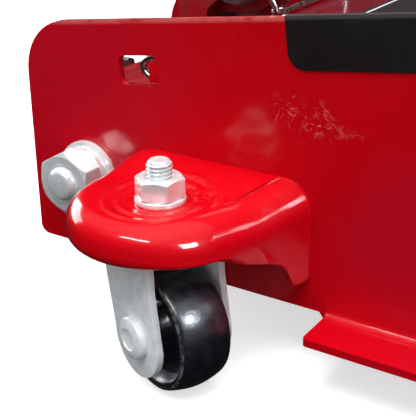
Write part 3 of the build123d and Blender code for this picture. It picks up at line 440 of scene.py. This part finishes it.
def sticker_finish():
    """Satin black sticker with a soft sheen, a few dust specks and a painted highlight along its top fold."""
    f = Finish("sticker_finish", Coat_Weight=0.15, Coat_Roughness=0.35, Specular_IOR_Level=0.25)
    dust = f.times(f.ramp(f.cells(350), 0.06, 0.03), f.ramp(f.noise(70, 2), 0.5, 0.6))
    # Painted highlight: a lighter line along the sticker's top fold at the plates' top edge, mixed with the dust
    # specks
    fold = f.math("SUBTRACT", f.along((-PLATE_SLOPE, 0, 1)), (PLATE_REAR_TOP * MM - PLATE_SLOPE * REAR))
    line = f.times(f.ramp(fold, -0.0014, -0.0002), 0.5)
    base = f.mix(f.ramp(f.noise(14, 3), 0.35, 0.65), (0.0065, 0.0055, 0.0060), (0.010, 0.008, 0.009))
    f.set("Base Color", f.mix(f.most(f.times(dust, 0.35), line), base, (0.10, 0.095, 0.10)))
    f.set("Roughness", f.ramp(f.noise(60, 3), 0.3, 0.7, 0.42, 0.55))
    f.set("Normal", f.bump(f.noise(800, 2), 0.00003, 0.4))
    return f.material


def label_finish():
    """Grey and black label with a pale border line."""
    low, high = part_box("top_label")
    middle = (low + high) / 2
    half = (high - low) / 2
    f = Finish("label_finish", Coat_Weight=0.4, Coat_Roughness=0.2)
    split = f.node("ShaderNodeSeparateXYZ", {0: f.place})
    from_x = f.math("ABSOLUTE", f.math("SUBTRACT", split.outputs[0], middle.x))
    from_y = f.math("ABSOLUTE", f.math("SUBTRACT", split.outputs[1], middle.y))
    inset = f.math("MINIMUM", f.math("SUBTRACT", half.x, from_x), f.math("SUBTRACT", half.y, from_y))
    line = f.times(f.ramp(inset, 0.0022, 0.0026), f.ramp(inset, 0.0040, 0.0036))
    field = f.mix(f.ramp(f.noise(40, 3), 0.4, 0.6), (0.20, 0.205, 0.21), (0.25, 0.255, 0.26))
    band = f.ramp(f.math("SUBTRACT", split.outputs[0], middle.x - half.x), 0.030, 0.0302)
    field = f.mix(band, (0.02, 0.02, 0.022), field)
    f.set("Base Color", f.mix(line, field, (0.75, 0.75, 0.76)))
    f.set("Roughness", 0.4)
    f.set("Normal", f.bump(f.noise(700, 2), 0.00003, 0.4))
    return f.material


def steel(name, tone=0.42, rough=0.3, oiled=0.5):
    """Machined steel with tool marks and a thin oily film."""
    f = Finish(name, Metallic=1.0, Coat_Weight=oiled, Coat_Roughness=0.2)
    dark = (tone * 0.55, tone * 0.54, tone * 0.52)
    f.set("Base Color", f.mix(f.ramp(f.noise(120, 5), 0.4, 0.7), (tone, tone, tone * 1.02), dark))
    f.set("Roughness", f.ramp(f.noise(350, 4), 0.3, 0.7, rough, rough + 0.2))
    f.set("Normal", f.bump(f.noise(1400, 2, 0.5, (0.15, 0.15, 1.0)), 0.00005, 0.5))
    return f.material


def chrome():
    f = Finish("chrome_finish", Metallic=1.0)
    f.set("Base Color", f.mix(f.ramp(f.noise(80, 3), 0.3, 0.7), (0.75, 0.76, 0.78), (0.68, 0.69, 0.71)))
    f.set("Roughness", f.ramp(f.noise(300, 3), 0.3, 0.7, 0.05, 0.12))
    f.set("Normal", f.bump(f.noise(1500, 2, 0.5, (0.1, 1.0, 1.0)), 0.00002, 0.3))
    return f.material


def black_paint(name, rough=0.35, grain=1.0):
    f = Finish(name, Coat_Weight=0.6, Coat_Roughness=0.15)
    wear = f.ramp(f.noise(110, 6, 0.7), 0.66, 0.74)
    f.set("Base Color", f.mix(f.times(wear, 0.4), (0.012, 0.012, 0.013), (0.09, 0.085, 0.08)))
    f.set("Roughness", f.ramp(f.noise(140, 3), 0.3, 0.7, rough, rough + 0.15))
    f.set("Normal", f.bump(f.noise(650, 4, 0.6), 0.00018 * grain, 0.5))
    return f.material


def rubber():
    f = Finish("rubber_finish", Specular_IOR_Level=0.35)
    dust = f.ramp(f.noise(45, 5, 0.65), 0.5, 0.75)
    f.set("Base Color", f.mix(f.times(dust, 0.5), (0.012, 0.012, 0.012), (0.045, 0.043, 0.04)))
    f.set("Roughness", f.ramp(f.noise(300, 3), 0.3, 0.7, 0.6, 0.8))
    f.set("Normal", f.bump(f.noise(1100, 4, 0.6), 0.00015, 0.6))
    return f.material


def floor_finish():
    f = Finish("floor_finish")
    f.set("Base Color", f.mix(f.ramp(f.noise(2, 3), 0.3, 0.7), (0.93, 0.93, 0.93), (0.95, 0.95, 0.95)))
    f.set("Roughness", 0.9)
    f.set("Emission Color", (1.0, 1.0, 1.0))
    f.set("Emission Strength", 0.6)
    return f.material


RED = red_paint("red_finish")
RED_PLATE = red_paint("plate_finish", plate=True, scuffs=(
    (at(136, -56, 105), (0.022, 0.02, 0.011), 0.6),
    (at(137, -56, 102), (0.030, 0.02, 0.004), 0.75),
    (at(47, -56, 76), (0.012, 0.02, 0.012), 0.35),
    (at(200, -56, 70), (0.02, 0.02, 0.01), 0.4),
    (at(136, 56, 105), (0.022, 0.02, 0.011), 0.5),
))
# The bracket's red is painted 12% lighter as painted light, for its brightly lit top
RED_BRACKET = red_paint("bracket_finish", scuffs=(
    (at(99, -86, 76), (0.024, 0.024, 0.01), 0.30),
    (at(99, 86, 76), (0.024, 0.024, 0.01), 0.30),
), painted_light_gain=1.12, grain=1.2)
CAST_RED = cast_paint("cast_red_finish", (0.28, 0.002, 0.008), (0.40, 0.004, 0.012))
ZINC = zinc("zinc_finish")
ZINC_SHEET = zinc("zinc_sheet_finish", 0.98, 0.36, 1.3, 0.06)
ZINC_DULL = zinc("zinc_dull_finish", 0.60, 0.30, 1.0, 0.8)
WHEEL = wheel_finish()
WORN = worn_edge_finish()
STEEL = steel("steel_finish")
WIRE = steel("wire_finish", 0.55, 0.2, 0.2)
BLACK = black_paint("black_finish")
RUBBER = rubber()

FINISHES = {"red_paint": RED, "cover_paint": cover_finish(), "black_label": sticker_finish(),
            "cover_label": label_finish(), "zinc_plate": ZINC_DULL, "black_wheel": WHEEL,
            "bare_steel": STEEL, "ram_chrome": chrome(), "black_metal": BLACK, "spring_steel": WIRE,
            "grip_rubber": RUBBER}
for name, obj in NODES.items():
    obj.data.materials.clear()
    obj.data.materials.append(FINISHES[SLOTS[name]])
for name in ("side_plate_right", "side_plate_left"):
    NODES[name].data.materials[0] = RED_PLATE
for name in ("pump_block", "handle_socket"):
    NODES[name].data.materials[0] = CAST_RED


# ---------------------------------------------------------------- caster brackets
TIP = (92.0, 85.8)              # centre of the bracket's round tip: along, and out from the middle plane
TIP_R = 36.2
BRACKET_TOP = 75.4
BRACKET_CUT = ((56.0, 41.5), (57.0, 40.0), (60.0, 39.3), (64.0, 39.8), (65.5, 43.0), (67.0, 47.0),
               (69.5, 50.2), (72.0, 51.6), (78.0, 53.6), (87.0, 56.3), (97.0, 60.1), (99.0, 60.6))


def bracket_low(out):
    """Height of the skirt's lower edge, by the distance out from the middle plane."""
    for (y0, z0), (y1, z1) in zip(BRACKET_CUT, BRACKET_CUT[1:]):
        if out <= y1:
            return z0 + (z1 - z0) * max(out - y0, 0.0) / (y1 - y0)
    return BRACKET_CUT[-1][1]


def bracket(side, name):
    """Pressed bracket: top with stamped rings, a rolled shoulder and a skirt that ends in a tongue."""
    swivel = joint_place("caster_%s_swivel" % name)
    stud = ((swivel.x - REAR) / MM, abs(swivel.y) / MM)
    rear, front = (57.5, PLATE_OUT), (141.5, PLATE_OUT)

    def tangent(point, sense):
        dx, dy = point[0] - TIP[0], point[1] - TIP[1]
        return math.atan2(dy, dx) + sense * math.acos(TIP_R / math.hypot(dx, dy))

    start = tangent(rear, -1) % math.tau
    stop = tangent(front, 1)
    wall = []

    def straight(a, b, angle, count, power):
        for i in range(count):
            t = (i / count) ** power
            wall.append((a[0] + (b[0] - a[0]) * t, a[1] + (b[1] - a[1]) * t, angle))

    def on_tip(angle):
        return TIP[0] + TIP_R * math.cos(angle), TIP[1] + TIP_R * math.sin(angle)

    straight(rear, on_tip(start), start, 24, 1.3)
    for i in range(80):
        angle = start + (stop - start) * i / 80
        wall.append(on_tip(angle) + (angle,))
    straight(on_tip(stop), front, stop, 76, 0.8)
    wall.append(front + (stop,))

    def rise(y):
        return 4.4 * ease(84 - y, 0, 28)

    def top(x, y):
        r = math.hypot(x - stud[0], y - stud[1])
        rings = 0.42 * swell(r, 16.0, 1.1) + 0.55 * swell(r, 21.2, 1.5) - 0.2 * swell(r, 18.4, 0.9)
        return BRACKET_TOP + 0.5 * ease(r, 12.0, 15.0) + rings * ease(y, 62, 70) + rise(y)

    def point(x, y, z):
        return at(x, side * max(y, PLATE_OUT + 0.02), z)

    columns = []
    inner = []
    for x, y, angle in wall:
        nx, ny = math.cos(angle), math.sin(angle)
        front_share = ease(nx, 0.2, 0.9)
        radius = 8.5 + 4.5 * front_share
        edge = BRACKET_TOP + 0.5 + rise(y)
        low = bracket_low(y)
        high = edge - radius
        seam = PLATE_OUT + 0.02 + 0.9 * front_share * ease(60 - y, 0, 3)
        tip_share = ease(y, 84, 100)
        column = []
        for share, out in ((0.0, -2.2), (0.06, -1.5), (0.16, -0.75), (0.32, -0.1), (0.5, 0.25), (0.75, 0.2)):
            push = out * tip_share
            column.append(point(x + nx * push, max(y + ny * push, seam), low + (high - low) * share))
        for i in range(13):
            a = math.radians(90 * i / 12)
            push = -radius * (1 - math.cos(a))
            column.append(point(x + nx * push, max(y + ny * push, seam if i < 9 else 0),
                                high + radius * math.sin(a)))
        columns.append(column)
        if y - ny * radius > PLATE_OUT + 0.02:
            inner.append((x - nx * radius, y - ny * radius))
        else:
            inner.append((inner[-1][0], PLATE_OUT + 0.02))
    shape = Shape()
    shape.grid(columns, wrap_cols=False)
    first, last = inner[0], inner[-1]
    for i in range(1, 40):
        inner.append((last[0] + (first[0] - last[0]) * i / 40, PLATE_OUT + 0.02))
    rows = []
    for i in range(61):
        t = i / 60
        row = []
        for x, y in inner:
            far = math.hypot(x - stud[0], y - stud[1])
            share = (5.6 + (far - 5.6) * t) / far
            px, py = stud[0] + (x - stud[0]) * share, stud[1] + (y - stud[1]) * share
            z = top(px, py)
            z += (BRACKET_TOP + 0.5 + rise(py) - z) * ease(t, 0.85, 1.0)
            row.append(point(px, py, z))
        rows.append(row)
    shape.grid(rows)
    shape.make("bracket_" + name, "frame", "red_paint", RED_BRACKET, ["caster_bracket_" + name], sheet=3.2,
               angle=50)


# ---------------------------------------------------------------- fasteners
def both_sides(node):
    """Place along and up, outer distance from the middle plane, and radius of a mirrored pair of rings."""
    low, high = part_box(node)
    return (low.x + high.x) / 2, (low.z + high.z) / 2, high.y / MM, (high.x - low.x) / 2 / MM


def caster_fasteners():
    washers, nuts, studs = Shape(), Shape(), Shape()
    low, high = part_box("caster_washers")
    nut_low, nut_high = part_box("caster_nuts")
    stud_low, stud_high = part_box("caster_studs")
    radius = (high.x - low.x) / 2 / MM
    for name, turn in (("right", math.radians(-8)), ("left", math.radians(21))):
        place = joint_place("caster_%s_swivel" % name)
        foot = Vector((place.x, place.y, low.z))
        washers.flat_washer(foot, UP, 5.2, radius, (high.z - low.z) / MM)
        nuts.nut(Vector((place.x, place.y, nut_low.z)), UP, 17.0, 4.5, (nut_high.z - nut_low.z) / MM,
                 turn, 0.95)
        bottom = nut_high.z - 3 * MM
        studs.thread(Vector((place.x, place.y, bottom)), UP, 5.0, 1.5, (stud_high.z - bottom) / MM, 0.75)
        shank = (bottom - stud_low.z) / MM
        studs.lathe(((0.0, 0.0), (8.4, 0.0), (9.0, 0.6), (9.0, 5.0), (4.9, 5.0), (4.9, shank), (0.0, shank)),
                    Vector((place.x, place.y, stud_low.z)), UP, closed=False)
        race = stud_low.z + 10.8 * MM
        studs.lathe(((5.0, 0.0), (13.0, 0.0), (15.0, 1.4), (15.0, 7.6), (5.0, 7.6)),
                    Vector((place.x, place.y, race)), UP)
    washers.make("caster_washer_pair", "frame", "zinc_plate", ZINC, ["caster_washers"])
    nuts.make("caster_nut_pair", "frame", "zinc_plate", ZINC, ["caster_nuts"], angle=24)
    studs.make("caster_stud_pair", "frame", "zinc_plate", ZINC, ["caster_studs"], angle=40)


def rear_fasteners():
    flat, split, nuts, bolt = Shape(), Shape(), Shape(), Shape()
    x, z, flat_out, flat_r = both_sides("rear_flat_washers")
    split_out, split_r = both_sides("rear_spring_washers")[2:]
    nut_out = both_sides("rear_nuts")[2]
    bolt_out, bolt_r = both_sides("rear_tie_bolt")[2:]
    for side in (-1, 1):
        axis = ACROSS * side
        plate = Vector((x, side * PLATE_OUT * MM, z))
        flat.flat_washer(plate, axis, bolt_r + 0.2, flat_r, flat_out - PLATE_OUT)
        split.spring_washer(plate + axis * (flat_out - PLATE_OUT) * MM, axis, bolt_r + 0.3, split_r,
                            split_out - flat_out, 0.9)
        nuts.nut(plate + axis * (split_out - PLATE_OUT) * MM, axis, 24.6, bolt_r - 0.3, nut_out - split_out,
                 math.radians(30))
        reach = bolt_out - 44
        r = bolt_r
        bolt.lathe(((0.0, 0.0), (r - 0.1, 0.0), (r - 0.1, reach - 5.2), (r - 0.35, reach - 4.6),
                    (r - 0.35, reach - 2.6), (r - 0.7, reach - 1.8), (r - 1.9, reach - 0.5),
                    (r - 2.4, reach - 0.15), (r - 3.0, reach), (0.0, reach + 0.1)),
                   Vector((x, side * 0.044, z)), axis, closed=False)
    bolt.lathe(((0.0, -45.0), (bolt_r, -45.0), (bolt_r, 45.0), (0.0, 45.0)), Vector((x, 0, z)), ACROSS,
               closed=False)
    flat.make("rear_flat_washer_pair", "frame", "zinc_plate", ZINC, ["rear_flat_washers"])
    split.make("rear_split_washer_pair", "frame", "zinc_plate", ZINC, ["rear_spring_washers"])
    nuts.make("rear_nut_pair", "frame", "zinc_plate", ZINC, ["rear_nuts"], angle=24)
    bolt.make("rear_bolt", "frame", "zinc_plate", ZINC, ["rear_tie_bolt"])


def pivot_nuts():
    shape = Shape()
    low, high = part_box("arm_pivot_nuts")
    height = high.y / MM - PLATE_OUT - 2.5
    for side in (-1, 1):
        axis = ACROSS * side
        plate = Vector(((low.x + high.x) / 2, side * PLATE_OUT * MM, (low.z + high.z) / 2))
        shape.flat_washer(plate, axis, 11.2, 17.5, 2.5)
        shape.nut(plate + axis * 2.5 * MM, axis, (high.z - low.z) / MM - 1.6, 10.6, height, 0.3)
    shape.make("pivot_nut_pair", "frame", "zinc_plate", ZINC, ["arm_pivot_nuts"], angle=24)


# ---------------------------------------------------------------- casters
def caster(name):
    """Fork, axle and wheel of one caster."""
    swivel = joint_place("caster_%s_swivel" % name)
    hub = joint_place("caster_%s_spin" % name)
    axis = Vector(JOINTS["caster_%s_spin" % name]["axis"])
    forward = Vector((hub.x - swivel.x, hub.y - swivel.y, 0)).normalized()
    origin = Vector((swivel.x, swivel.y, 0))
    trail = (hub - swivel).length / MM
    centre = hub.z / MM

    def spot(along, across, height):
        return origin + (forward * along + axis * across) * MM + UP * height * MM

    outline = [(-15, 62.5), (-14.5, 48)]
    for i in range(33):
        a = math.pi + math.pi * i / 32
        outline.append((trail + 15.5 * math.cos(a), centre - 1 + 15.5 * math.sin(a)))
    outline += [(17.5, 48), (17, 62.5)]
    fork = Shape()
    for inner in (14.2, -17.2):
        fork.slab([spot(a, inner, h) for a, h in outline], axis * 3.0 * MM)
    corner = math.atan2(17.2, 17.0)
    angles = sorted([math.tau * (i + 0.5) / 48 for i in range(48)] +
                    [corner, math.pi - corner, math.pi + corner, math.tau - corner])
    edge = [min(17.0 / abs(math.cos(a)), 17.2 / abs(math.sin(a))) for a in angles]
    hole = [5.4] * len(angles)
    crown = ((edge, 61.0), (edge, 64.0), (hole, 64.0), (hole, 61.0))
    fork.grid([[spot(r * math.cos(a), r * math.sin(a), height) for a, r in zip(angles, reach)]
               for reach, height in crown], wrap_rows=True)
    fork.make("fork_" + name, "caster_fork_" + name, "zinc_plate", ZINC_SHEET, ["caster_fork_" + name],
              bevel=0.55)

    axle = Shape()
    axle.lathe(((0.0, -17.0), (4.0, -17.0), (4.0, 17.0), (0.0, 17.0)), hub, axis, 32, False)
    for side in (-1, 1):
        axle.lathe(((0.0, 17.2), (8.2, 17.2), (8.4, 17.5), (8.4, 19.2), (8.0, 19.8), (7.0, 20.25),
                    (5.2, 20.7), (4.4, 20.75), (4.1, 20.3), (3.4, 20.1), (0.0, 20.0)), hub, axis * side,
                   56, False)
    axle.make("axle_" + name, "caster_fork_" + name, "zinc_plate", ZINC_SHEET, ["caster_axle_" + name])

    half = [(4.3, 12.6), (4.9, 13.1), (7.8, 13.1), (8.6, 12.6), (10.0, 7.0), (11.0, 5.6), (12.6, 5.0),
            (16.6, 5.0), (18.2, 5.7), (19.6, 8.8), (20.5, 10.3), (21.5, 10.95), (22.4, 11.0)]
    tread = [(23.35, 10.6), (23.8, 9.9), (24.2, 8.6), (24.7, 6.6), (25.15, 4.2), (25.4, 2.0), (25.5, 0.0)]
    profile = half + tread
    profile += [(r, -h) for r, h in reversed(profile[:-1])]
    wheel = Shape()
    wheel.lathe(profile, hub, axis, 96)
    wheel.make("wheel_" + name, "caster_wheel_" + name, "black_wheel", WHEEL, ["caster_wheel_" + name],
               angle=40)
    line = Shape()
    for side in (-1, 1):
        line.lathe(((22.2, 11.02), (22.95, 10.98), (23.5, 10.5), (23.4, 10.4), (22.9, 10.8), (22.2, 10.9)),
                   hub, axis * side, 96)
    line.make("wheel_edge_" + name, "caster_wheel_" + name, "black_wheel", WORN)


# ---------------------------------------------------------------- springs
def coil_points(start, end, radius, turns, phase=0.0, steps=20):
    u, v, w = basis(end - start)
    count = int(turns * steps)
    points = []
    for i in range(count + 1):
        a = phase + math.tau * turns * i / count
        points.append(start + (end - start) * i / count + (u * math.cos(a) + v * math.sin(a)) * radius * MM)
    return points


def curve_through(points, steps=8):
    """Smooth line through the points."""
    out = []
    for i in range(len(points) - 1):
        p0, p1 = points[max(i - 1, 0)], points[i]
        p2, p3 = points[i + 1], points[min(i + 2, len(points) - 1)]
        for j in range(steps):
            t = j / steps
            out.append(0.5 * ((2 * p1) + (p2 - p0) * t + (2 * p0 - 5 * p1 + 4 * p2 - p3) * t * t
                              + (3 * p1 - p0 - 3 * p2 + p3) * t ** 3))
    out.append(points[-1].copy())
    return out


def return_springs():
    """Coil springs that draw the ram back, hooked on the tabs in the plates' slots."""
    tab_low, tab_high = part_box("spring_anchors")
    bar_low, bar_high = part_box("spring_bar")
    low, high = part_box("return_springs")
    z = (tab_low.z + tab_high.z) / 2
    bar = (bar_low + bar_high) / 2
    y = high.y - 5.5 * MM
    shape = Shape()
    for side in (-1, 1):
        start = Vector((tab_high.x + 7 * MM, side * y, z - 0.3 * MM))
        end = Vector((bar.x - 9 * MM, side * y, bar.z))
        coil = coil_points(start, end, 4.2, 44, steps=14)
        tab = tab_low.x
        hook = [(8.5, 0.0, 4.1), (4.5, 2.4, 4.7), (1.5, 4.4, 4.4), (-3.6, 4.8, 4.1), (-7.3, 4.8, 1.8),
                (-7.3, 4.8, -1.8), (-3.6, 4.8, -4.1), (1.5, 4.4, -4.4), (4.5, 2.4, -4.6)]
        hook = [Vector((tab + a * MM, side * (y + b * MM), z + c * MM)) for a, b, c in hook]
        shape.sweep(curve_through(hook), 1.6)
        shape.sweep(coil, 1.25, 8)
        last = [end + UP * 4.2 * MM, bar + Vector((-4, 0, 6.4)) * MM, bar + Vector((3, 0, 6.4)) * MM,
                bar + Vector((6.4, 0, 0)) * MM, bar + Vector((3, 0, -6.2)) * MM,
                bar + Vector((-2.5, 0, -6.2)) * MM]
        last = [Vector((p.x, side * y, p.z)) for p in last]
        shape.sweep(curve_through(last), 1.25, 8)
    start = (tab_high.x + 8 * MM, 0, z)
    end = (bar.x - 9 * MM, 0, bar.z)
    shape.make("return_coils", None, "spring_steel", WIRE, ["return_springs"],
               blend=("frame", "ram", start, end))


def spring_tabs():
    """Tabs in the slots, notched above and below for the spring's hook."""
    low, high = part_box("spring_anchors")
    middle, half = (low.z + high.z) / 2, (high.z - low.z) / 2 / MM
    outer = high.y / MM
    shape = Shape()
    top = [(40.0, half), (outer - 8.2, half), (outer - 7.4, half - 1.5), (outer - 6.0, half - 2.0),
           (outer - 4.4, half - 1.5), (outer - 3.6, half), (outer, half)]
    for side in (-1, 1):
        outline = top + [(a, -b) for a, b in reversed(top)]
        shape.slab([Vector((low.x - 0.4 * MM, side * a * MM, middle + b * MM)) for a, b in outline],
                   Vector((high.x - low.x + 0.7 * MM, 0, 0)))
    shape.make("spring_tabs", "frame", "red_paint", RED, ["spring_anchors"], bevel=0.3)


def pump_spring():
    low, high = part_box("pump_spring")
    x = (low.x + high.x) / 2
    radius = (high.x - low.x) / 2 / MM - 1.5
    start, end = Vector((x, 0, low.z + 1.4 * MM)), Vector((x, 0, high.z - 1.4 * MM))
    shape = Shape()
    shape.sweep(coil_points(start, end, radius, 4.6, steps=28), 1.35, 12)
    shape.make("pump_coil", None, "spring_steel", WIRE, ["pump_spring"],
               blend=("frame", "pump_plunger", tuple(start), tuple(end)))


def torsion_spring():
    """Double torsion spring: two coils on the pin, bridged by one wire in front of the socket."""
    low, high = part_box("handle_torsion_spring")
    pin = joint_place("handle_pump")
    outer = high.y / MM - 1.3
    inner = outer - 5.4
    bridge = Vector((high.x - 1.3 * MM, 0, low.z + 1.3 * MM))
    if bridge.z < pin.z - 0.0145:
        bridge.z = pin.z - 13.6 * MM
    line = []
    turns = 2.55
    for i in range(61):
        a = math.radians(-90) - math.tau * turns * (1 - i / 60) + math.radians(90)
        line.append(Vector((pin.x + 9.9 * MM * math.cos(a), -(outer + (inner - outer) * i / 60) * MM,
                            pin.z + 9.9 * MM * math.sin(a))))
    side = inner * MM
    leg = [Vector((pin.x + 10.3 * MM, -side, pin.z - 3 * MM)),
           Vector((bridge.x - 0.6 * MM, -side, bridge.z + 3 * MM)),
           Vector((bridge.x, -side + 2.6 * MM, bridge.z)), Vector((bridge.x, -side * 0.5, bridge.z)),
           Vector((bridge.x, 0, bridge.z))]
    half = line + curve_through([line[-1]] + leg)[1:]
    whole = half + [Vector((p.x, -p.y, p.z)) for p in reversed(half[:-1])]
    shape = Shape()
    shape.sweep(whole, 1.3, 12)
    shape.make("torsion_wire", "frame", "spring_steel", WIRE, ["handle_torsion_spring"])


# ---------------------------------------------------------------- front, saddle and handle
def front_wheels():
    for name, side in (("right", -1), ("left", 1)):
        low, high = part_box("front_wheel_" + name)
        centre = (low + high) / 2
        radius, half = (high.z - low.z) / 2 / MM, (high.y - low.y) / 2 / MM
        face = [(10.2, half - 1.0), (10.8, half - 0.2), (16.5, half - 0.2), (17.3, half - 1.0),
                (18.6, half - 5.0), (20.0, half - 6.2), (27.0, half - 6.2), (28.6, half - 5.4),
                (31.0, half - 0.8), (32.0, half), (radius - 2.6, half), (radius - 0.8, half - 0.8),
                (radius, half - 2.6), (radius, 0.0)]
        profile = face + [(r, -h) for r, h in reversed(face[:-1])]
        wheel = Shape()
        wheel.lathe(profile, centre, ACROSS, 112)
        wheel.make("roller_" + name, "front_wheel_" + name, "black_wheel", WHEEL, ["front_wheel_" + name],
                   angle=40)


def saddle():
    """Cup with a ribbed rim of bevelled teeth and a centre pad with a ring groove."""
    low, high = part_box("saddle")
    centre = joint_place("saddle_turn")
    base = Vector((centre.x, centre.y, high.z))
    radius = (high.x - low.x) / 2 / MM
    stem = (low.z - high.z) / MM
    shape = Shape()
    shape.lathe(((0.0, stem), (8.4, stem), (9.0, stem + 0.6), (9.0, -15.6), (36.5, -15.6), (38.0, -15.0),
                 (38.3, -13.2), (radius - 1.4, -12.6), (radius, -11.0), (radius, -5.0),
                 (radius - 0.9, -4.0), (radius - 5.2, -4.0), (radius - 6.0, -4.8), (radius - 6.6, -9.6),
                 (radius - 8.0, -10.7), (21.6, -10.7), (20.6, -10.2), (20.0, -9.0), (20.0, -0.8),
                 (19.2, 0.0), (12.0, 0.0), (11.2, -0.7), (9.4, -0.7), (8.6, 0.0), (0.0, 0.0)), base, UP,
                96, closed=False)
    for k in range(8):
        a = math.tau * k / 8
        out, aside = Vector((math.cos(a), math.sin(a), 0)), Vector((-math.sin(a), math.cos(a), 0))
        rows = []
        for h, r0, r1, w in ((-4.6, radius - 6.0, radius - 0.1, 6.5),
                             (-2.4, radius - 5.6, radius - 0.5, 6.1),
                             (-1.5, radius - 4.8, radius - 1.3, 5.3)):
            rows.append([base + (out * r + aside * s + UP * h) * MM
                         for r, s in ((r0, -w), (r1, -w), (r1, w), (r0, w))])
        shape.grid(rows, caps=True)
    shape.make("saddle_cup", "saddle", "black_metal", BLACK, ["saddle"], angle=30)


def handle():
    pin = joint_place("handle_pump")
    low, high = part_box("handle_grip")
    middle = (low + high) / 2
    direction = (middle - pin).normalized()
    slope = Vector((direction.x, 0, direction.z))
    thick = (high.y - low.y) / 2 / MM
    span = (high.z - low.z) / MM
    length = (span - 2 * thick * abs(slope.x)) / slope.z
    start = middle - slope * length / 2 * MM
    profile = [(13.7, 0.0), (15.6, 0.0), (17.0, 1.2), (17.0, 4.0), (16.2, 5.0)]
    ribs = 26
    for i in range(ribs):
        h = 6 + (length - 22) * i / ribs
        step = (length - 22) / ribs
        profile += [(15.6, h), (15.6, h + step * 0.30), (16.5, h + step * 0.48), (16.6, h + step * 0.78),
                    (15.7, h + step * 0.96)]
    profile += [(16.2, length - 14), (17.0, length - 12), (17.0, length - 4), (16.0, length - 1.2),
                (12.0, length), (0.0, length)]
    grip = Shape()
    grip.lathe(profile, start, slope, 64, closed=False)
    grip.make("grip_sleeve", "handle", "grip_rubber", RUBBER, ["handle_grip"], angle=35)
    screw_low, screw_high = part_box("handle_lock_screw")
    foot = (screw_low + screw_high) / 2
    normal = Vector((slope.z, 0, -slope.x))
    outward = normal if (foot - pin).dot(normal) > 0 else -normal
    base = pin + slope * ((foot - pin).dot(slope)) + outward * 19.5 * MM
    screw = Shape()
    screw.nut(base, outward, 15.0, 4.0, 6.0, 0.2)
    screw.lathe(((0.0, -6.0), (4.0, -6.0), (4.0, 8.0), (3.2, 9.0), (0.0, 9.0)), base, outward, 40, False)
    screw.sweep([base + outward * 7.6 * MM - ACROSS * 12 * MM, base + outward * 7.6 * MM + ACROSS * 12 * MM],
                1.8, 16)
    screw.make("tube_screw", "handle", "zinc_plate", ZINC_DULL, ["handle_lock_screw"])


for side, name in ((-1, "right"), (1, "left")):
    bracket(side, name)
    caster(name)
caster_fasteners()
rear_fasteners()
pivot_nuts()
return_springs()
spring_tabs()
pump_spring()
torsion_spring()
front_wheels()
saddle()
handle()


# ---------------------------------------------------------------- camera, floor and light
def camera():
    data = bpy.data.cameras.new("camera")
    data.lens = 83.165
    data.sensor_width = 36.0
    data.clip_start = 0.01
    obj = bpy.data.objects.new("camera", data)
    bpy.context.scene.collection.objects.link(obj)
    place = at(293.617, -357.362, 214.815)
    aim = at(94.01, -56.0, 59.56)
    turn = (aim - place).to_track_quat("-Z", "Y") @ Quaternion((0, 0, 1), math.radians(-0.766))
    obj.matrix_world = Matrix.LocRotScale(place, turn, None)
    bpy.context.scene.camera = obj


def floor():
    shape = bpy.data.meshes.new("floor")
    size = 6.0
    corners = [(-size, -size, 0), (size, -size, 0), (size, size, 0), (-size, size, 0)]
    shape.from_pydata(corners, [], [(0, 1, 2, 3)])
    obj = bpy.data.objects.new("floor", shape)
    bpy.context.scene.collection.objects.link(obj)
    shape.materials.append(floor_finish())
    obj.visible_glossy = False
    obj.visible_diffuse = False


def soft_light(name, place, aim, width, height, power, colour=(1.0, 1.0, 1.0), gloss=True):
    """Area light that either makes reflections or lights the surfaces evenly."""
    data = bpy.data.lights.new(name, "AREA")
    data.shape = "RECTANGLE"
    data.size = width
    data.size_y = height
    data.energy = power
    data.color = colour
    obj = bpy.data.objects.new(name, data)
    bpy.context.scene.collection.objects.link(obj)
    obj.matrix_world = Matrix.LocRotScale(place, (aim - place).to_track_quat("-Z", "Y"), None)
    obj.visible_diffuse = not gloss
    obj.visible_glossy = gloss


def surroundings():
    """White surroundings for the eye and for soft light, darker in reflections, like black cards."""
    world = bpy.data.worlds.new("studio")
    bpy.context.scene.world = world
    world.use_nodes = True
    tree = world.node_tree
    back = tree.nodes["Background"]
    path = tree.nodes.new("ShaderNodeLightPath")
    place = tree.nodes.new("ShaderNodeTexCoord")
    split = tree.nodes.new("ShaderNodeSeparateXYZ")
    tree.links.new(place.outputs["Generated"], split.inputs[0])
    height = tree.nodes.new("ShaderNodeMapRange")
    tree.links.new(split.outputs[2], height.inputs["Value"])
    height.inputs["From Min"].default_value = 0.45
    height.inputs["From Max"].default_value = 0.95
    height.inputs["To Min"].default_value = 0.012
    height.inputs["To Max"].default_value = 0.9
    glow = tree.nodes.new("ShaderNodeMapRange")
    tree.links.new(split.outputs[2], glow.inputs["Value"])
    glow.inputs["From Min"].default_value = -0.35
    glow.inputs["From Max"].default_value = 0.35
    glow.inputs["To Min"].default_value = 0.10
    glow.inputs["To Max"].default_value = 0.80
    soft = tree.nodes.new("ShaderNodeMix")
    tree.links.new(path.outputs["Is Glossy Ray"], soft.inputs[0])
    tree.links.new(glow.outputs[0], soft.inputs[2])
    tree.links.new(height.outputs[0], soft.inputs[3])
    seen = tree.nodes.new("ShaderNodeMix")
    tree.links.new(path.outputs["Is Camera Ray"], seen.inputs[0])
    tree.links.new(soft.outputs[0], seen.inputs[2])
    seen.inputs[3].default_value = 1.0
    tree.links.new(seen.outputs[0], back.inputs["Strength"])
    back.inputs["Color"].default_value = (1, 1, 1, 1)


camera()
floor()
surroundings()
middle = at(95, -70, 70)
soft_light("strip", middle + Vector((0.05, -0.75, 0.85)), middle, 0.8, 0.10, 9.0)
soft_light("spot", middle + Vector((0.98, -0.27, 0.58)), middle, 0.30, 0.26, 10.0, (0.90, 0.94, 1.0))
soft_light("rear", middle + Vector((-1.05, 0.22, 0.30)), middle, 0.75, 0.42, 7.0)
soft_light("top", middle + Vector((0.15, -0.30, 1.2)), middle, 1.0, 1.0, 20.0, gloss=False)
bpy.context.scene.view_settings.view_transform = "Standard"
